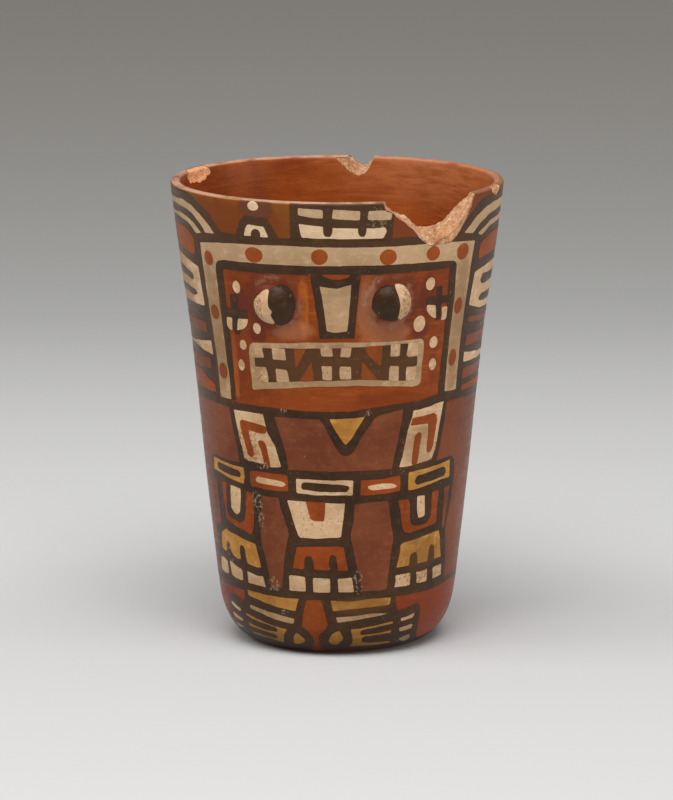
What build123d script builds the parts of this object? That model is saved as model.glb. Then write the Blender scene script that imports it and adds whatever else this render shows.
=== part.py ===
"""Painted ceramic drinking beaker (kero), hand built from clay and painted with coloured slips.

The beaker stands on the table at z = 0 with its axis on Z. Its painted face looks along -Y.
Places on the wall are (angle, height): the angle is in degrees round the axis from the front,
positive towards +X, and the height is in millimetres above the table.

From the inside out it is made of
    clay_base, clay_wall      a slab with a rebated edge, and the wall that stands on the rebate
    *_eye                     clay pellets pressed onto the wall for the bulging eyes
    inner_coat, outer_coat    the red slip that covers the clay, down to the bare foot
    everything else           painted slips, thin layers that lie on the outer coat
The same figure is painted on the front and on the back.
"""

import math
import os

from build123d import *

# Outside of the finished wall
HEIGHT = 169.0
RIM_RADIUS = 60.5
WAIST_HEIGHT = 85.0
WAIST_RADIUS = 50.1
TABLE_RADIUS = 40.4  # where the line of the wall would meet the table without its rounded heel
BELLY_SHARE = 0.5  # the wall swells out most this far up from the table to the waist
BELLY_SWELL = 0.42  # and this far from a straight line
FLARE_SHARE = 0.37  # the wall is drawn in most this far up from the waist to the rim
FLARE_HOLLOW = 0.72  # and this far from a straight line
HEEL_ROUND = 17.0

# Clay and coats
WALL = 5.0
LIP = 3.6
FLOOR = 9.0
INNER_ROUND = 14.0
COAT = 0.3
PAINT = 0.2
BARE_LIP = 2.0  # the painting stops this far below the top
SLAB_EDGE = 4.5  # thickness of the base slab under the wall
SLAB_RADIUS = 21.0  # the slab's full thickness reaches this far out

# Clay pellets for the eyes
EYE_RADIUS = 7.4
EYE_HEIGHT = 3.6
LEFT_EYE_ANGLE = -24.0
RIGHT_EYE_ANGLE = 20.0
EYE_LEVEL = 0.77  # share of the height of the face
PUPIL_EDGE = 1.6  # the white begins this far outwards from the middle of the eye

# Breaks through the rim: an outline of (angle, depth below the top) on the outer face, and how far
# the fracture rises for each millimetre inwards
FRONT_BREAK = ((15.5, 0.0), (19.5, 5.0), (25.0, 9.0), (30.5, 14.5), (36.0, 17.2), (44.0, 11.0), (52.5, 0.0))
FRONT_BREAK_SLOPE = 1.5
BACK_CHIP = ((165.9, 0.0), (168.2, 2.4), (171.2, 3.3), (175.4, 2.8), (178.6, 0.0))
BACK_CHIP_SLOPE = -1.1

# Flakes off the faces of the lip: angle, depth below the top, half width, and how deep they bite
INNER_FLAKE = (-121.7, 2.5, 5.0, 1.8)
OUTER_FLAKE = (74.5, 1.8, 2.8, 1.3)

# Heights of the painting's registers from the table up, stretched together to fit the wall
REGISTERS = {
    "foot_margin": 3.0,
    "feet": 20.0,
    "foot_line": 3.0,
    "legs": 36.0,
    "belt": 8.6,
    "torso": 20.6,
    "chin_line": 3.6,
    "face": 48.4,
    "brow_line": 2.9,
    "frame": 7.0,
    "crown_line": 2.6,
    "headdress": 11.3,
}

# Angles of the painting, and the width of its upright black lines
LINE = 3.0
FRAME_ANGLE = 56.5
FRAME_BAND = 8.0
NOSE_ANGLE = 5.4
MOUTH_ANGLE = 35.5
SLEEVE_ANGLE = 37.5
HAND_ANGLE = 46.5
PANEL_ANGLE = -8.5
PANEL_SPREAD = 12.5
LEFT_FOOT_ANGLE = -34.0
RIGHT_FOOT_ANGLE = 13.0
SOLE_SPREAD = 14.0
BLOCK_LEFT = -16.0
BLOCK_RIGHT = 17.6
TASSEL_ANGLE = -29.5
LIMBS_ANGLE = 68.0  # the black ground of the hands reaches this far round
SIDE_REACH = 29.5  # half width of the ornament between the two figures
ARCH_BANDS = (1.0, 0.86, 0.70, 0.54, 0.40)  # edges of its arches, as shares of the outermost

REACH = 150.0  # how far the cutting tools stand out from the axis
OVERRUN = 5.0  # how far they stand past the rim


def bend(low, high, share, bow):
    """The (radius, height) point part of the way from one point to another, moved outwards by bow."""
    return low[0] + share * (high[0] - low[0]) + bow, low[1] + share * (high[1] - low[1])


def profile(inset, lip_inset):
    """The wall's outside from the table to the rim, moved in. It is made of four straight lines."""
    table = (TABLE_RADIUS - inset, 0)
    waist = (WAIST_RADIUS - inset, WAIST_HEIGHT)
    rim = (RIM_RADIUS - lip_inset, HEIGHT)
    belly = bend(table, waist, BELLY_SHARE, BELLY_SWELL)
    return [table, belly, waist, bend(waist, rim, FLARE_SHARE, -FLARE_HOLLOW), rim]


def wall_radius(height):
    """Outside radius of the finished wall above its rounded heel."""
    line = profile(0, 0)
    low, high = next(pair for pair in zip(line, line[1:]) if height <= pair[1][1])
    return low[0] + (high[0] - low[0]) * (height - low[1]) / (high[1] - low[1])


def between(low, high):
    """Everything between two heights, in the half section's plane."""
    return Pos(0, (low + high) / 2) * Rectangle(2 * REACH, high - low)


def form(inset, lip_inset, floor, top, heel):
    """Half section of a solid beaker, with its outside moved in, its own floor and top, and a round heel."""
    line = profile(inset, lip_inset)
    above = (line[-1][0] + (line[-1][0] - line[-2][0]) * OVERRUN / (HEIGHT - line[-2][1]), HEIGHT + OVERRUN)
    outline = Polyline((0, 0), *line, above, (0, HEIGHT + OVERRUN), close=True)
    filled = make_face(outline) & between(floor, top)
    corner = max(filled.vertices().filter_by(lambda v: v.Y < floor + 0.01), key=lambda v: v.X)
    return fillet(corner, heel)


def section(skin):
    """Half section of the beaker's wall and floor with all its surfaces moved in by skin."""
    outside = form(skin, skin, skin, HEIGHT - skin, HEEL_ROUND - skin)
    inside = form(WALL - skin, LIP - skin, FLOOR - skin, HEIGHT + OVERRUN, INNER_ROUND + skin)
    hollow = outside - inside
    lip = hollow.vertices().filter_by(lambda v: v.Y > HEIGHT - skin - 0.01)
    return fillet(lip, 0.46 * (LIP - 2 * skin))


def turned(flat, start=0.0, sweep=360.0):
    """A half section turned about the axis, from one angle on."""
    return Rot(0, 0, start - 90) * revolve(Plane.XZ * flat, Axis.Z, sweep)


FINISHED = section(0)
CLAY = section(COAT)
FOOT_RADIUS = max(v.X for v in FINISHED.vertices() if v.Y < 0.01)
PAINT_TOP = HEIGHT - BARE_LIP
FILLED = form(0, 0, 0, HEIGHT, HEEL_ROUND)
PAINT_LAYER = (form(-PAINT, -PAINT, 0, HEIGHT, HEEL_ROUND) - FILLED) & between(1, PAINT_TOP)


def registers():
    """The bottom and top of each register."""
    stretch = PAINT_TOP / sum(REGISTERS.values())
    spans, foot = {}, 0.0
    for name, tall in REGISTERS.items():
        spans[name] = (foot * stretch, (foot + tall) * stretch)
        foot += tall
    return spans


SPANS = registers()


def level(register, share):
    """A height in a register, from 0 at its foot to 1 at its head."""
    low, high = SPANS[register]
    return low + share * (high - low)


def facing(angle):
    """The plane through the axis that faces outwards at an angle, with its Y up."""
    turn = math.radians(angle)
    side = (math.cos(turn), math.sin(turn), 0)
    return Plane(origin=(0, 0, 0), x_dir=side, z_dir=(math.sin(turn), -math.cos(turn), 0))


def cell(points):
    """A column through the wall whose outline there runs through (angle, height) points."""
    middle = (min(a for a, _ in points) + max(a for a, _ in points)) / 2
    corners = [(wall_radius(h) * math.sin(math.radians(a - middle)), h) for a, h in points]
    return extrude(facing(middle) * make_face(Polyline(*corners, close=True)), REACH)


def tile(left, right, low, high):
    """A column with level and upright edges."""
    flat = Pos(REACH / 2, (low + high) / 2) * Rectangle(REACH, high - low)
    return turned(flat & (Pos(REACH, 0) * Rectangle(2 * REACH - TABLE_RADIUS, 4 * REACH)), left, right - left)


def oval(angle, height, half_width, half_height):
    """A column with an oval outline, in millimetres."""
    return extrude(facing(angle) * Pos(0, height) * Ellipse(half_width, half_height), REACH)


def mirrored(points, middle=0.0):
    return tuple((2 * middle - a, h) for a, h in points)


def band(left, right, low, high):
    """The paint layer between two angles and two heights."""
    return turned(PAINT_LAYER & between(low, high), left, right - left)


def both(shapes):
    """Shapes of the front figure, and the same shapes turned to the back."""
    return list(shapes) + [Rot(0, 0, 180) * s for s in shapes]


nodes = {}


def keep(name, shape):
    nodes.setdefault(name, []).extend(shape.solids())


def laid(columns, middle=0.0):
    """The paint layer inside columns that lie within a right angle of the middle."""
    tools = Compound(list(columns))
    box = tools.bounding_box(optimal=False)
    return band(middle - 89, middle + 89, box.min.Z - 1, box.max.Z + 1) & tools


def paint(name, area, cuts=()):
    """Lays slip on an area of the front and of the back, except in some columns."""
    for copy in both([area - list(cuts) if cuts else area]):
        keep(name, copy)


def paint_ring(name, low, high, cuts=()):
    """Lays slip all the way round between two heights, except in some columns."""
    ring = turned(PAINT_LAYER & between(low, high))
    keep(name, ring - both(cuts) if cuts else ring)


def headdress():
    low, high = SPANS["headdress"]
    width = BLOCK_RIGHT - BLOCK_LEFT
    windows = []
    for start, end in ((0.09, 0.33), (0.44, 0.70), (0.79, 0.95)):
        left, right = BLOCK_LEFT + start * width, BLOCK_LEFT + end * width
        windows.append(tile(left, right, level("headdress", 0.06), level("headdress", 0.40)))
        windows.append(tile(left, right, level("headdress", 0.67), level("headdress", 0.90)))
    knob = oval(TASSEL_ANGLE, level("headdress", 0.84), 1.8, 1.4)
    arch = cell(
        (
            (TASSEL_ANGLE - 4.0, level("headdress", 0.05)),
            (TASSEL_ANGLE + 4.6, level("headdress", 0.05)),
            (TASSEL_ANGLE + 3.2, level("headdress", 0.40)),
            (TASSEL_ANGLE - 3.0, level("headdress", 0.40)),
        )
    )
    tassel = cell(
        (
            (TASSEL_ANGLE - 8.0, low),
            (TASSEL_ANGLE + 8.5, low),
            (TASSEL_ANGLE + 6.0, level("headdress", 0.62)),
            (TASSEL_ANGLE + 6.0, high),
            (TASSEL_ANGLE - 5.5, high),
            (TASSEL_ANGLE - 5.5, level("headdress", 0.62)),
        )
    )
    paint("headdress_black", band(BLOCK_LEFT, BLOCK_RIGHT, low, high), windows)
    paint("headdress_black", laid([tassel]), [knob, arch])
    paint("headdress_cream", laid(windows + [knob, arch]))


def face_frame():
    inner, outer = FRAME_ANGLE - FRAME_BAND, FRAME_ANGLE + LINE
    middle = FRAME_ANGLE - FRAME_BAND / 2
    foot = SPANS["face"][0]
    low, high = SPANS["frame"]
    dots = [oval(a, level("frame", 0.5), 3.0, 2.4) for a in (-30.5, -6.2, 18.0, 36.0)]
    dots += [oval(side * middle, level("face", share), 2.5, 3.0) for side in (-1, 1) for share in (0.2, 0.66)]
    dots += [oval(side * middle, low, 2.8, 2.8) for side in (-1, 1)]
    frame = band(-FRAME_ANGLE, FRAME_ANGLE, low, high)
    frame += band(-FRAME_ANGLE, -inner, foot, low) + band(inner, FRAME_ANGLE, foot, low)
    brow = band(-inner, inner, *SPANS["brow_line"])
    brow += band(-inner, LINE - inner, foot, low) + band(inner - LINE, inner, foot, low)
    crown = band(-outer, outer, *SPANS["crown_line"])
    crown += band(-outer, -FRAME_ANGLE, foot, high) + band(FRAME_ANGLE, outer, foot, high)
    paint("face_frame_grey", frame, dots)
    paint("frame_dots_red", laid(dots))
    paint("frame_lines_black", brow)
    paint("frame_lines_black", crown)
    paint_ring("frame_lines_black", *SPANS["chin_line"])


def nose():
    blade = cell(
        (
            (1.6 - NOSE_ANGLE, level("face", 0.58)),
            (NOSE_ANGLE - 1.6, level("face", 0.58)),
            (NOSE_ANGLE, level("face", 0.92)),
            (-NOSE_ANGLE, level("face", 0.90)),
        )
    )
    outline = cell(
        (
            (-NOSE_ANGLE - 1.4, level("face", 0.52)),
            (NOSE_ANGLE + 1.4, level("face", 0.52)),
            (NOSE_ANGLE + LINE, SPANS["face"][1]),
            (-NOSE_ANGLE - LINE, SPANS["face"][1]),
        )
    )
    paint("nose_grey", laid([blade]))
    paint("nose_black", laid([outline]), [blade])


def mouth():
    low, high = level("face", 0.14), level("face", 0.46)
    middle = (low + high) / 2
    lip = 0.13 * (high - low)
    bar = 0.08 * (high - low)
    rows = ((low + 1.2 * lip, middle - bar), (middle + bar, high - 1.2 * lip))
    inside = tile(LINE - MOUTH_ANGLE, MOUTH_ANGLE - LINE, low + lip, high - lip)
    teeth, fangs = [], []
    for start, end in ((-31.5, -28.7), (-26.0, -20.5), (-6.0, -2.4), (0.8, 5.2), (20.5, 23.8), (26.8, 31.5)):
        for bottom, top in rows:
            teeth.append(tile(start, end, bottom, top))
    (lower, bar_low), (bar_high, upper) = rows
    for left in (-17.5, 9.0):
        fangs.append(cell(((left, upper), (left + 7.0, upper), (left + 1.0, bar_high))))
        fangs.append(cell(((left + 2.0, lower), (left + 8.5, lower), (left + 8.0, bar_low))))
    paint("lips_grey", band(-MOUTH_ANGLE, MOUTH_ANGLE, low, high), [inside])
    paint("mouth_black", laid([inside]), teeth + fangs)
    paint("teeth_cream", laid(teeth))
    paint("fangs_red", laid(fangs))


def cheeks():
    spots = ((-39.4, 0.87), (-31.6, 0.56), (-39.2, 0.42), (-40.6, 0.27), (36.0, 0.9), (32.4, 0.58), (39.6, 0.44))
    paint("cheek_marks_cream", laid([oval(a, level("face", share), 1.7, 1.9) for a, share in spots]))
    for left, right in ((-44.8, -42.2), (-39.6, -36.0), (36.0, 39.6), (42.2, 44.8)):
        paint("cheek_marks_cream", band(left, right, level("face", 0.53), level("face", 0.62)))


def tunic():
    low, high = SPANS["torso"]
    neck = cell(((-8.0, high), (14.5, high), (3.2, level("torso", 0.25))))
    collar = cell(((-3.4, level("torso", 0.96)), (10.6, level("torso", 0.96)), (3.4, level("torso", 0.5))))
    sleeve = (
        (-SLEEVE_ANGLE - 9.0, level("torso", 0.96)),
        (-SLEEVE_ANGLE + 6.0, level("torso", 0.96)),
        (-SLEEVE_ANGLE + 12.5, level("torso", 0.06)),
        (-SLEEVE_ANGLE - 5.5, level("torso", 0.12)),
    )
    fret = (
        (-SLEEVE_ANGLE - 6.0, level("torso", 0.80)),
        (-SLEEVE_ANGLE + 5.0, level("torso", 0.80)),
        (-SLEEVE_ANGLE + 6.0, level("torso", 0.64)),
        (-SLEEVE_ANGLE + 0.5, level("torso", 0.64)),
        (-SLEEVE_ANGLE + 2.0, level("torso", 0.22)),
        (-SLEEVE_ANGLE - 2.0, level("torso", 0.22)),
    )
    sleeves = [cell(sleeve), cell(mirrored(sleeve))]
    frets = [cell(fret), cell(mirrored(fret))]
    paint("collar_ochre", laid([collar]))
    paint("collar_black", laid([neck]), [collar])
    paint("sleeves_cream", laid(sleeves), frets)
    paint("sleeve_frets_red", laid(frets))
    paint_ring("tunic_maroon", low, high, sleeves + [neck])


def belt():
    rows = {
        "belt_ochre": ((-66.0, -44.0), (32.5, 56.5)),
        "belt_red": ((-39.5, -21.5), (10.5, 28.0)),
        "belt_cream": ((-17.5, 6.5),),
    }
    tiles, slots = [], []
    for name, spans in rows.items():
        for left, right in spans:
            plate = tile(left, right, level("belt", 0.1), level("belt", 0.9))
            slot = tile(left + 2.5, right - 2.5, level("belt", 0.38), level("belt", 0.62))
            tiles.append(plate)
            slots.append(slot)
            paint(name, laid([plate]), [slot])
    paint("belt_black", laid(slots))
    paint_ring("belt_black", *SPANS["belt"], tiles)


def hand(centre):
    """Nails, palm, cuff and the bar on the cuff of one hand."""
    nails = [tile(centre + s - 3.2, centre + s + 3.2, level("legs", 0.04), level("legs", 0.17)) for s in (-9.5, 0, 9.5)]
    palm = cell(
        (
            (centre - 13.0, level("legs", 0.22)),
            (centre + 13.0, level("legs", 0.22)),
            (centre + 9.0, level("legs", 0.52)),
            (centre - 9.0, level("legs", 0.52)),
        )
    )
    cuff = tile(centre - 9.0, centre + 9.0, level("legs", 0.6), level("legs", 0.97))
    bar = tile(centre - 2.8, centre + 2.8, level("legs", 0.7), level("legs", 0.97))
    return nails, palm, cuff, bar


def hands_and_panel():
    low, high = SPANS["legs"]
    covered = []
    for side in (-1, 1):
        nails, palm, cuff, bar = hand(side * HAND_ANGLE)
        paint("nails_cream", laid(nails))
        paint("palms_ochre", laid([palm]))
        paint("cuffs_red", laid([cuff]), [bar])
        paint("cuff_bars_cream", laid([bar]))
        covered += nails + [palm, cuff]
    panel = cell(
        (
            (PANEL_ANGLE - 0.7 * PANEL_SPREAD, level("legs", 0.57)),
            (PANEL_ANGLE + 0.85 * PANEL_SPREAD, level("legs", 0.57)),
            (PANEL_ANGLE + PANEL_SPREAD, level("legs", 0.97)),
            (PANEL_ANGLE - PANEL_SPREAD, level("legs", 0.97)),
        )
    )
    notch = tile(PANEL_ANGLE - 3.5, PANEL_ANGLE + 3.5, level("legs", 0.75), level("legs", 0.97))
    fringe = cell(
        (
            (PANEL_ANGLE - 0.95 * PANEL_SPREAD, level("legs", 0.22)),
            (PANEL_ANGLE + 1.1 * PANEL_SPREAD, level("legs", 0.22)),
            (PANEL_ANGLE + 0.95 * PANEL_SPREAD, level("legs", 0.47)),
            (PANEL_ANGLE - 0.8 * PANEL_SPREAD, level("legs", 0.47)),
        )
    )
    tips = [tile(a - 3.6, a + 3.6, level("legs", 0.04), level("legs", 0.17)) for a in (-18.5, -7.5, 3.5)]
    cloths = [
        tile(-31.5, -24.5, level("legs", 0.06), level("legs", 0.95)),
        tile(10.5, 29.5, level("legs", 0.06), level("legs", 0.95)),
    ]
    paint("panel_cream", laid([panel]), [notch])
    paint("fringe_red", laid([notch, fringe]))
    paint("nails_cream", laid(tips))
    paint("limbs_black", band(-LIMBS_ANGLE, LIMBS_ANGLE, low, high), covered + [panel, fringe] + tips + cloths)
    paint("legs_maroon", laid(cloths))
    paint("legs_maroon", band(LIMBS_ANGLE, 180 - LIMBS_ANGLE, low, high))


def feet():
    low, high = SPANS["feet"]
    paint_ring("feet_black", *SPANS["foot_line"])
    for centre, toes_to in ((LEFT_FOOT_ANGLE, -1), (RIGHT_FOOT_ANGLE, 1)):
        left, right = centre - SOLE_SPREAD, centre + SOLE_SPREAD
        shin = tile(left, right, level("feet", 0.76), level("feet", 0.96))
        instep = tile(left, right, level("feet", 0.5), level("feet", 0.68))
        sole = tile(left, right, level("feet", 0.1), level("feet", 0.42))
        ankle = oval(centre - toes_to * (SOLE_SPREAD + 6.0), level("feet", 0.2), 2.4, 2.2)
        toe_start, toe_end = SOLE_SPREAD + LINE, SOLE_SPREAD + LINE + 9.0
        toe_left, toe_right = sorted((centre + toes_to * toe_start, centre + toes_to * toe_end))
        toes = [tile(toe_left, toe_right, level("feet", s), level("feet", s + 0.16)) for s in (0.16, 0.46)]
        heel_side, toe_side = centre - toes_to * (toe_start + 6.5), centre + toes_to * (toe_end + LINE)
        ground = band(min(heel_side, toe_side), max(heel_side, toe_side), low, level("feet", 0.72))
        ground += band(left - LINE, right + LINE, level("feet", 0.72), high)
        paint("feet_black", ground, [shin, instep, sole, ankle] + toes)
        paint("feet_ochre", laid([shin, sole, ankle]))
        paint("feet_grey", laid([instep]))
        paint("toes_cream", laid(toes))


def side_ornament():
    """Nested arches and a comb between the two figures."""
    middle = 90.0
    foot = SPANS["frame"][1]
    rise = PAINT_TOP - foot - 1.0
    spread = wall_radius(foot) * math.sin(math.radians(SIDE_REACH))
    outer, grey, black, inner_grey, core = [oval(middle, foot, spread * s, rise * s) for s in ARCH_BANDS]
    above = band(middle - 80, middle + 80, foot, PAINT_TOP)
    paint("side_arches_black", above & outer, [grey])
    paint("side_arches_grey", above & grey, [black])
    paint("side_arches_black", above & black, [inner_grey])
    paint("side_arches_grey", above & inner_grey, [core])
    left, right = middle - SIDE_REACH, middle + SIDE_REACH
    gaps = [tile(left + 6, right - 6, level("face", s), level("face", s + 0.05)) for s in (0.72, 0.88)]
    paint("side_combs_cream", band(left, right, level("face", 0.58), SPANS["face"][1]), gaps)
    paint("side_lines_black", laid(gaps, middle))
    for share in (0.06, 0.26, 0.46):
        paint("side_lines_black", band(left, right, level("face", share), level("face", share + 0.08)))


def eyes(clay_outside, finished_outside):
    """Pellets on the clay, and the black and white slip on the part of them that stands out."""
    ball_radius = (EYE_RADIUS**2 + EYE_HEIGHT**2) / (2 * EYE_HEIGHT)
    height = level("face", EYE_LEVEL)
    out = wall_radius(height) + EYE_HEIGHT - ball_radius
    pellets = []
    for side, angle, outwards in (("left", LEFT_EYE_ANGLE, -1), ("right", RIGHT_EYE_ANGLE, 1)):
        place = facing(angle) * Pos(0, height, out)
        ball = place * Sphere(ball_radius)
        pellet = ball - clay_outside
        white_side = facing(angle) * Pos(outwards * (PUPIL_EDGE + REACH / 2), height, REACH / 2) * Box(REACH, REACH, REACH)
        skin = place * Sphere(ball_radius + PAINT) - ball - finished_outside
        for figure, copy in zip(("front", "back"), both([pellet])):
            keep(f"{figure}_{side}_eye", copy)
            pellets.append(copy)
        for copy in both([skin & white_side]):
            keep("eye_whites_cream", copy)
        for copy in both([skin - white_side]):
            keep("pupils_black", copy)
    return pellets


def broken_out(outline, slope):
    """The piece that is missing at a break through the rim."""
    middle = sum(a for a, _ in outline) / len(outline)
    edge = [(RIM_RADIUS * math.sin(math.radians(a - middle)), HEIGHT - d) for a, d in outline]
    lid = 3 * LIP * abs(slope) + OVERRUN
    corners = edge + [(edge[-1][0], HEIGHT + lid), (edge[0][0], HEIGHT + lid)]
    face = facing(middle) * Pos(0, 0, RIM_RADIUS) * make_face(Polyline(*corners, close=True))
    inwards = -facing(middle).z_dir + Vector(0, 0, slope)
    return extrude(face, 3 * LIP, inwards) + extrude(face, LIP, -inwards)


def flaked_off(flake, radius, side):
    """The scale that is missing at a flake off the outer (1) or inner (-1) face of the lip."""
    angle, depth, reach, bite = flake
    return facing(angle) * Pos(0, HEIGHT - depth, radius + side * (reach - bite)) * Sphere(reach)


def whats_left(solid, missing):
    """A solid without the missing pieces that it touches."""
    for piece in missing:
        if piece.bounding_box(optimal=False).overlaps(solid.bounding_box(optimal=False)):
            solid = solid - piece
    return [rest for rest in solid.solids() if rest.volume > 0.5]


headdress()
face_frame()
nose()
mouth()
cheeks()
tunic()
belt()
hands_and_panel()
feet()
side_ornament()

# Clay and coats, all from the same two half sections
bare_foot = Pos(FOOT_RADIUS / 2, COAT / 2) * Rectangle(FOOT_RADIUS, COAT)
clay = CLAY + bare_foot
slab = clay & (between(-1, SLAB_EDGE) + (between(-1, FLOOR) & Pos(SLAB_RADIUS / 2, 0) * Rectangle(SLAB_RADIUS, REACH)))
coats = FINISHED - clay
middle_face = form(WALL / 2, LIP / 2, FLOOR / 2, HEIGHT, HEEL_ROUND - WALL / 2)
pellets = eyes(turned(form(COAT, COAT, 0, HEIGHT, HEEL_ROUND - COAT)), turned(FILLED))
keep("clay_base", turned(slab))
keep("clay_wall", turned(clay - slab))
keep("inner_coat", turned(coats & middle_face))
keep("outer_coat", turned(coats - middle_face) - pellets)

# The damage goes through everything that lies at the rim
missing = [
    broken_out(FRONT_BREAK, FRONT_BREAK_SLOPE),
    broken_out(BACK_CHIP, BACK_CHIP_SLOPE),
    flaked_off(INNER_FLAKE, RIM_RADIUS - LIP, -1),
    flaked_off(OUTER_FLAKE, RIM_RADIUS, 1),
]
for name, solids in nodes.items():
    nodes[name] = [rest for solid in solids for rest in whats_left(solid, missing)]

os.makedirs("parts", exist_ok=True)
for name, solids in nodes.items():
    shape = solids[0] if len(solids) == 1 else Compound(children=solids)
    export_step(shape, f"parts/{name}.step")
    print(name, len(solids), round(sum(s.volume for s in solids), 1))
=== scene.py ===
"""Painted ceramic beaker: its formed walls, broken rim and painted slips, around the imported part.

Places on the wall are (angle, height). The angle is in degrees round the axis from the front, positive
towards +X, and the height is in millimetres above the table. The same figure is painted front and back.
"""

import math

import bmesh
import bpy
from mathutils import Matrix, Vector, noise
from mathutils.geometry import delaunay_2d_cdt


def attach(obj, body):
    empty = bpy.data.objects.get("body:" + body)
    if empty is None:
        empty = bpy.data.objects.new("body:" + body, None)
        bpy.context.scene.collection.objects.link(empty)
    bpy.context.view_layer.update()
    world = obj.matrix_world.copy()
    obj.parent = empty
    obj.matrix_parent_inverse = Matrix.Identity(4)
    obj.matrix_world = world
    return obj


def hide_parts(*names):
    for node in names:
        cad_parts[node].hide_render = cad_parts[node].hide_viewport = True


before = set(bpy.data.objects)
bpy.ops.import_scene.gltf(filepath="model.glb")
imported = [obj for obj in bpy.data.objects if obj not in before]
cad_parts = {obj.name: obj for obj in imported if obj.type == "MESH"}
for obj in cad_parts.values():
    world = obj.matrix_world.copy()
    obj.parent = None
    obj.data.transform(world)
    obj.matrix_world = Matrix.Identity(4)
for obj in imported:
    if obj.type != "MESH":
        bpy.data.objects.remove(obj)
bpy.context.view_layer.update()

MM = 0.001

# Outside of the wall: its line from the table to the rim, and the round heel under it
HEIGHT = 169.0
WALL_LINE = ((0.0, 40.65), (40.0, 45.5), (85.0, 50.1), (115.0, 53.2), (145.0, 57.4), (169.0, 60.37))
HEEL_HEIGHT = 20.0
HEEL_ROUND = 13.0
HEEL_SQUARE = 2.35  # 2 is a quarter of an ellipse, and more is squarer
LIP_DROP = 1.2

# Clay
WALL = 5.0
LIP = 3.6
THINS_FROM = 85.0
FLOOR = 9.0
INNER_ROUND = 14.0
WALL_FOOT = 4.5
CLAY_INSET = 0.12

# Clay pellets under the painted eyes
EYE_BALL = 9.56
EYE_DEEP = 49.61  # from the axis to the middle of the ball
EYE_LEVEL = 132.07
LEFT_EYE = -24.0
RIGHT_EYE = 20.0
EYE_FILLET = 0.32

# How far each layer of slip stands out from the coat
GROUND, LINE, CELL, MARK, TOP = 0.04, 0.07, 0.10, 0.13, 0.16

# The front break: edges of the clay on the outer and the inner face, and of the coat on the outer face
FRONT_OUTER = (
    (14.6, 176), (15.7, 168.1), (16.4, 165.8), (18.9, 164.8), (21, 162.7), (24, 160.8), (26.7, 158.6), (28.7, 156),
    (31.6, 153.6), (35.1, 151.9), (38.1, 153.2), (42.3, 155.2), (45.4, 157.2), (47.9, 159.4), (50.5, 162),
    (53, 165.6), (54.2, 168.6), (55, 176),
)
FRONT_INNER = (
    (16.2, 176), (17.1, 167.9), (18.4, 166.3), (21.6, 164.5), (25.2, 163.1), (27.4, 161.3), (29.7, 159.5),
    (32.2, 158.7), (35.2, 158.2), (38.9, 158.7), (42.6, 159.9), (45.2, 162.1), (48, 164.3), (52.3, 166.3),
    (57.1, 168.1), (58.5, 176),
)
FRONT_COAT = (
    (14.4, 176), (15.5, 168.1), (16.2, 165.6), (18.9, 164.6), (21, 162.5), (24, 160.6), (26.7, 158.4), (28.7, 155.8),
    (31.6, 153.4), (35.1, 151.6), (38.1, 151.8), (42.3, 151.8), (45.4, 153.1), (47.9, 156.2), (50.5, 159.3),
    (53, 164), (54.4, 168.3), (55.2, 176),
)
BACK_OUTER = (
    (165.4, 176), (166.3, 168.8), (167.1, 167.7), (168.7, 165.9), (170.3, 165.3), (172, 166.1), (173.6, 167.3),
    (175.2, 168.8), (176, 176),
)
BACK_INNER = (
    (164.6, 176), (165.6, 168.8), (166.3, 167.6), (167.5, 165), (169.2, 162.7), (171.4, 161.4), (174, 162.4),
    (176.2, 164), (178.4, 166.1), (180.5, 168), (181.6, 176),
)
BREAKS = ((FRONT_OUTER, FRONT_INNER, FRONT_COAT), (BACK_OUTER, BACK_INNER, BACK_OUTER))

# Scales off the lip: angle, height, half width, half height, depth, and the face: 0 outer, 1 inner
FLAKES = ((-114.5, 166.9, 9.0, 3.2, 0.8, 1), (71.6, 168.3, 4.6, 2.4, 0.7, 0))

# Where the meshes are cut finer: angles and heights
FINE = ((8, 60, 146, 176), (158, 184, 156, 176), (-128, -102, 158, 176), (-34.5, -13.5, 121, 143), (9.5, 30.5, 121, 143))
FLAT_STEP = 2.0
FINE_STEP = 0.5


def smooth_line(stations, at):
    """A smooth curve through (place, value) stations."""

    def slope(i):
        low, high = stations[max(i - 1, 0)], stations[min(i + 1, len(stations) - 1)]
        return (high[1] - low[1]) / (high[0] - low[0])

    i = 0
    while i < len(stations) - 2 and at > stations[i + 1][0]:
        i += 1
    (start, first), (end, last) = stations[i], stations[i + 1]
    span = end - start
    s = (at - start) / span
    return (
        first * (2 * s**3 - 3 * s**2 + 1)
        + last * (3 * s**2 - 2 * s**3)
        + span * slope(i) * (s**3 - 2 * s**2 + s)
        + span * slope(i + 1) * (s**3 - s**2)
    )


def straight_line(stations, at):
    """The value at a place on straight lines through stations, or a height above the rim outside them."""
    if at <= stations[0][0] or at >= stations[-1][0]:
        return 999.0
    for (start, first), (end, last) in zip(stations, stations[1:]):
        if at <= end:
            return first + (last - first) * (at - start) / (end - start)


def turned_to(angle, middle):
    """The same angle, within a half turn of another."""
    return (angle - middle + 180) % 360 - 180 + middle


def waver(angle, height, size, seed=0.0):
    """Smooth noise on the wall, from about -1 to 1, with bumps of a size in millimetres."""
    turn = math.radians(angle)
    return noise.noise(Vector((52 * math.sin(turn), -52 * math.cos(turn), height + seed)) / size)


def heel_drop(height):
    """How far the heel is drawn in at a height."""
    rest = min(1.0, 1 - height / HEEL_HEIGHT)
    return HEEL_ROUND * (1 - (1 - rest**HEEL_SQUARE) ** (1 / HEEL_SQUARE))


def line_radius(angle, height):
    """Outside radius with no lip, as the potter's hand left it."""
    radius = smooth_line(WALL_LINE, min(height, HEIGHT))
    if height < HEEL_HEIGHT:
        radius -= heel_drop(height)
    return radius + 0.13 * waver(angle, height, 26)


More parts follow.
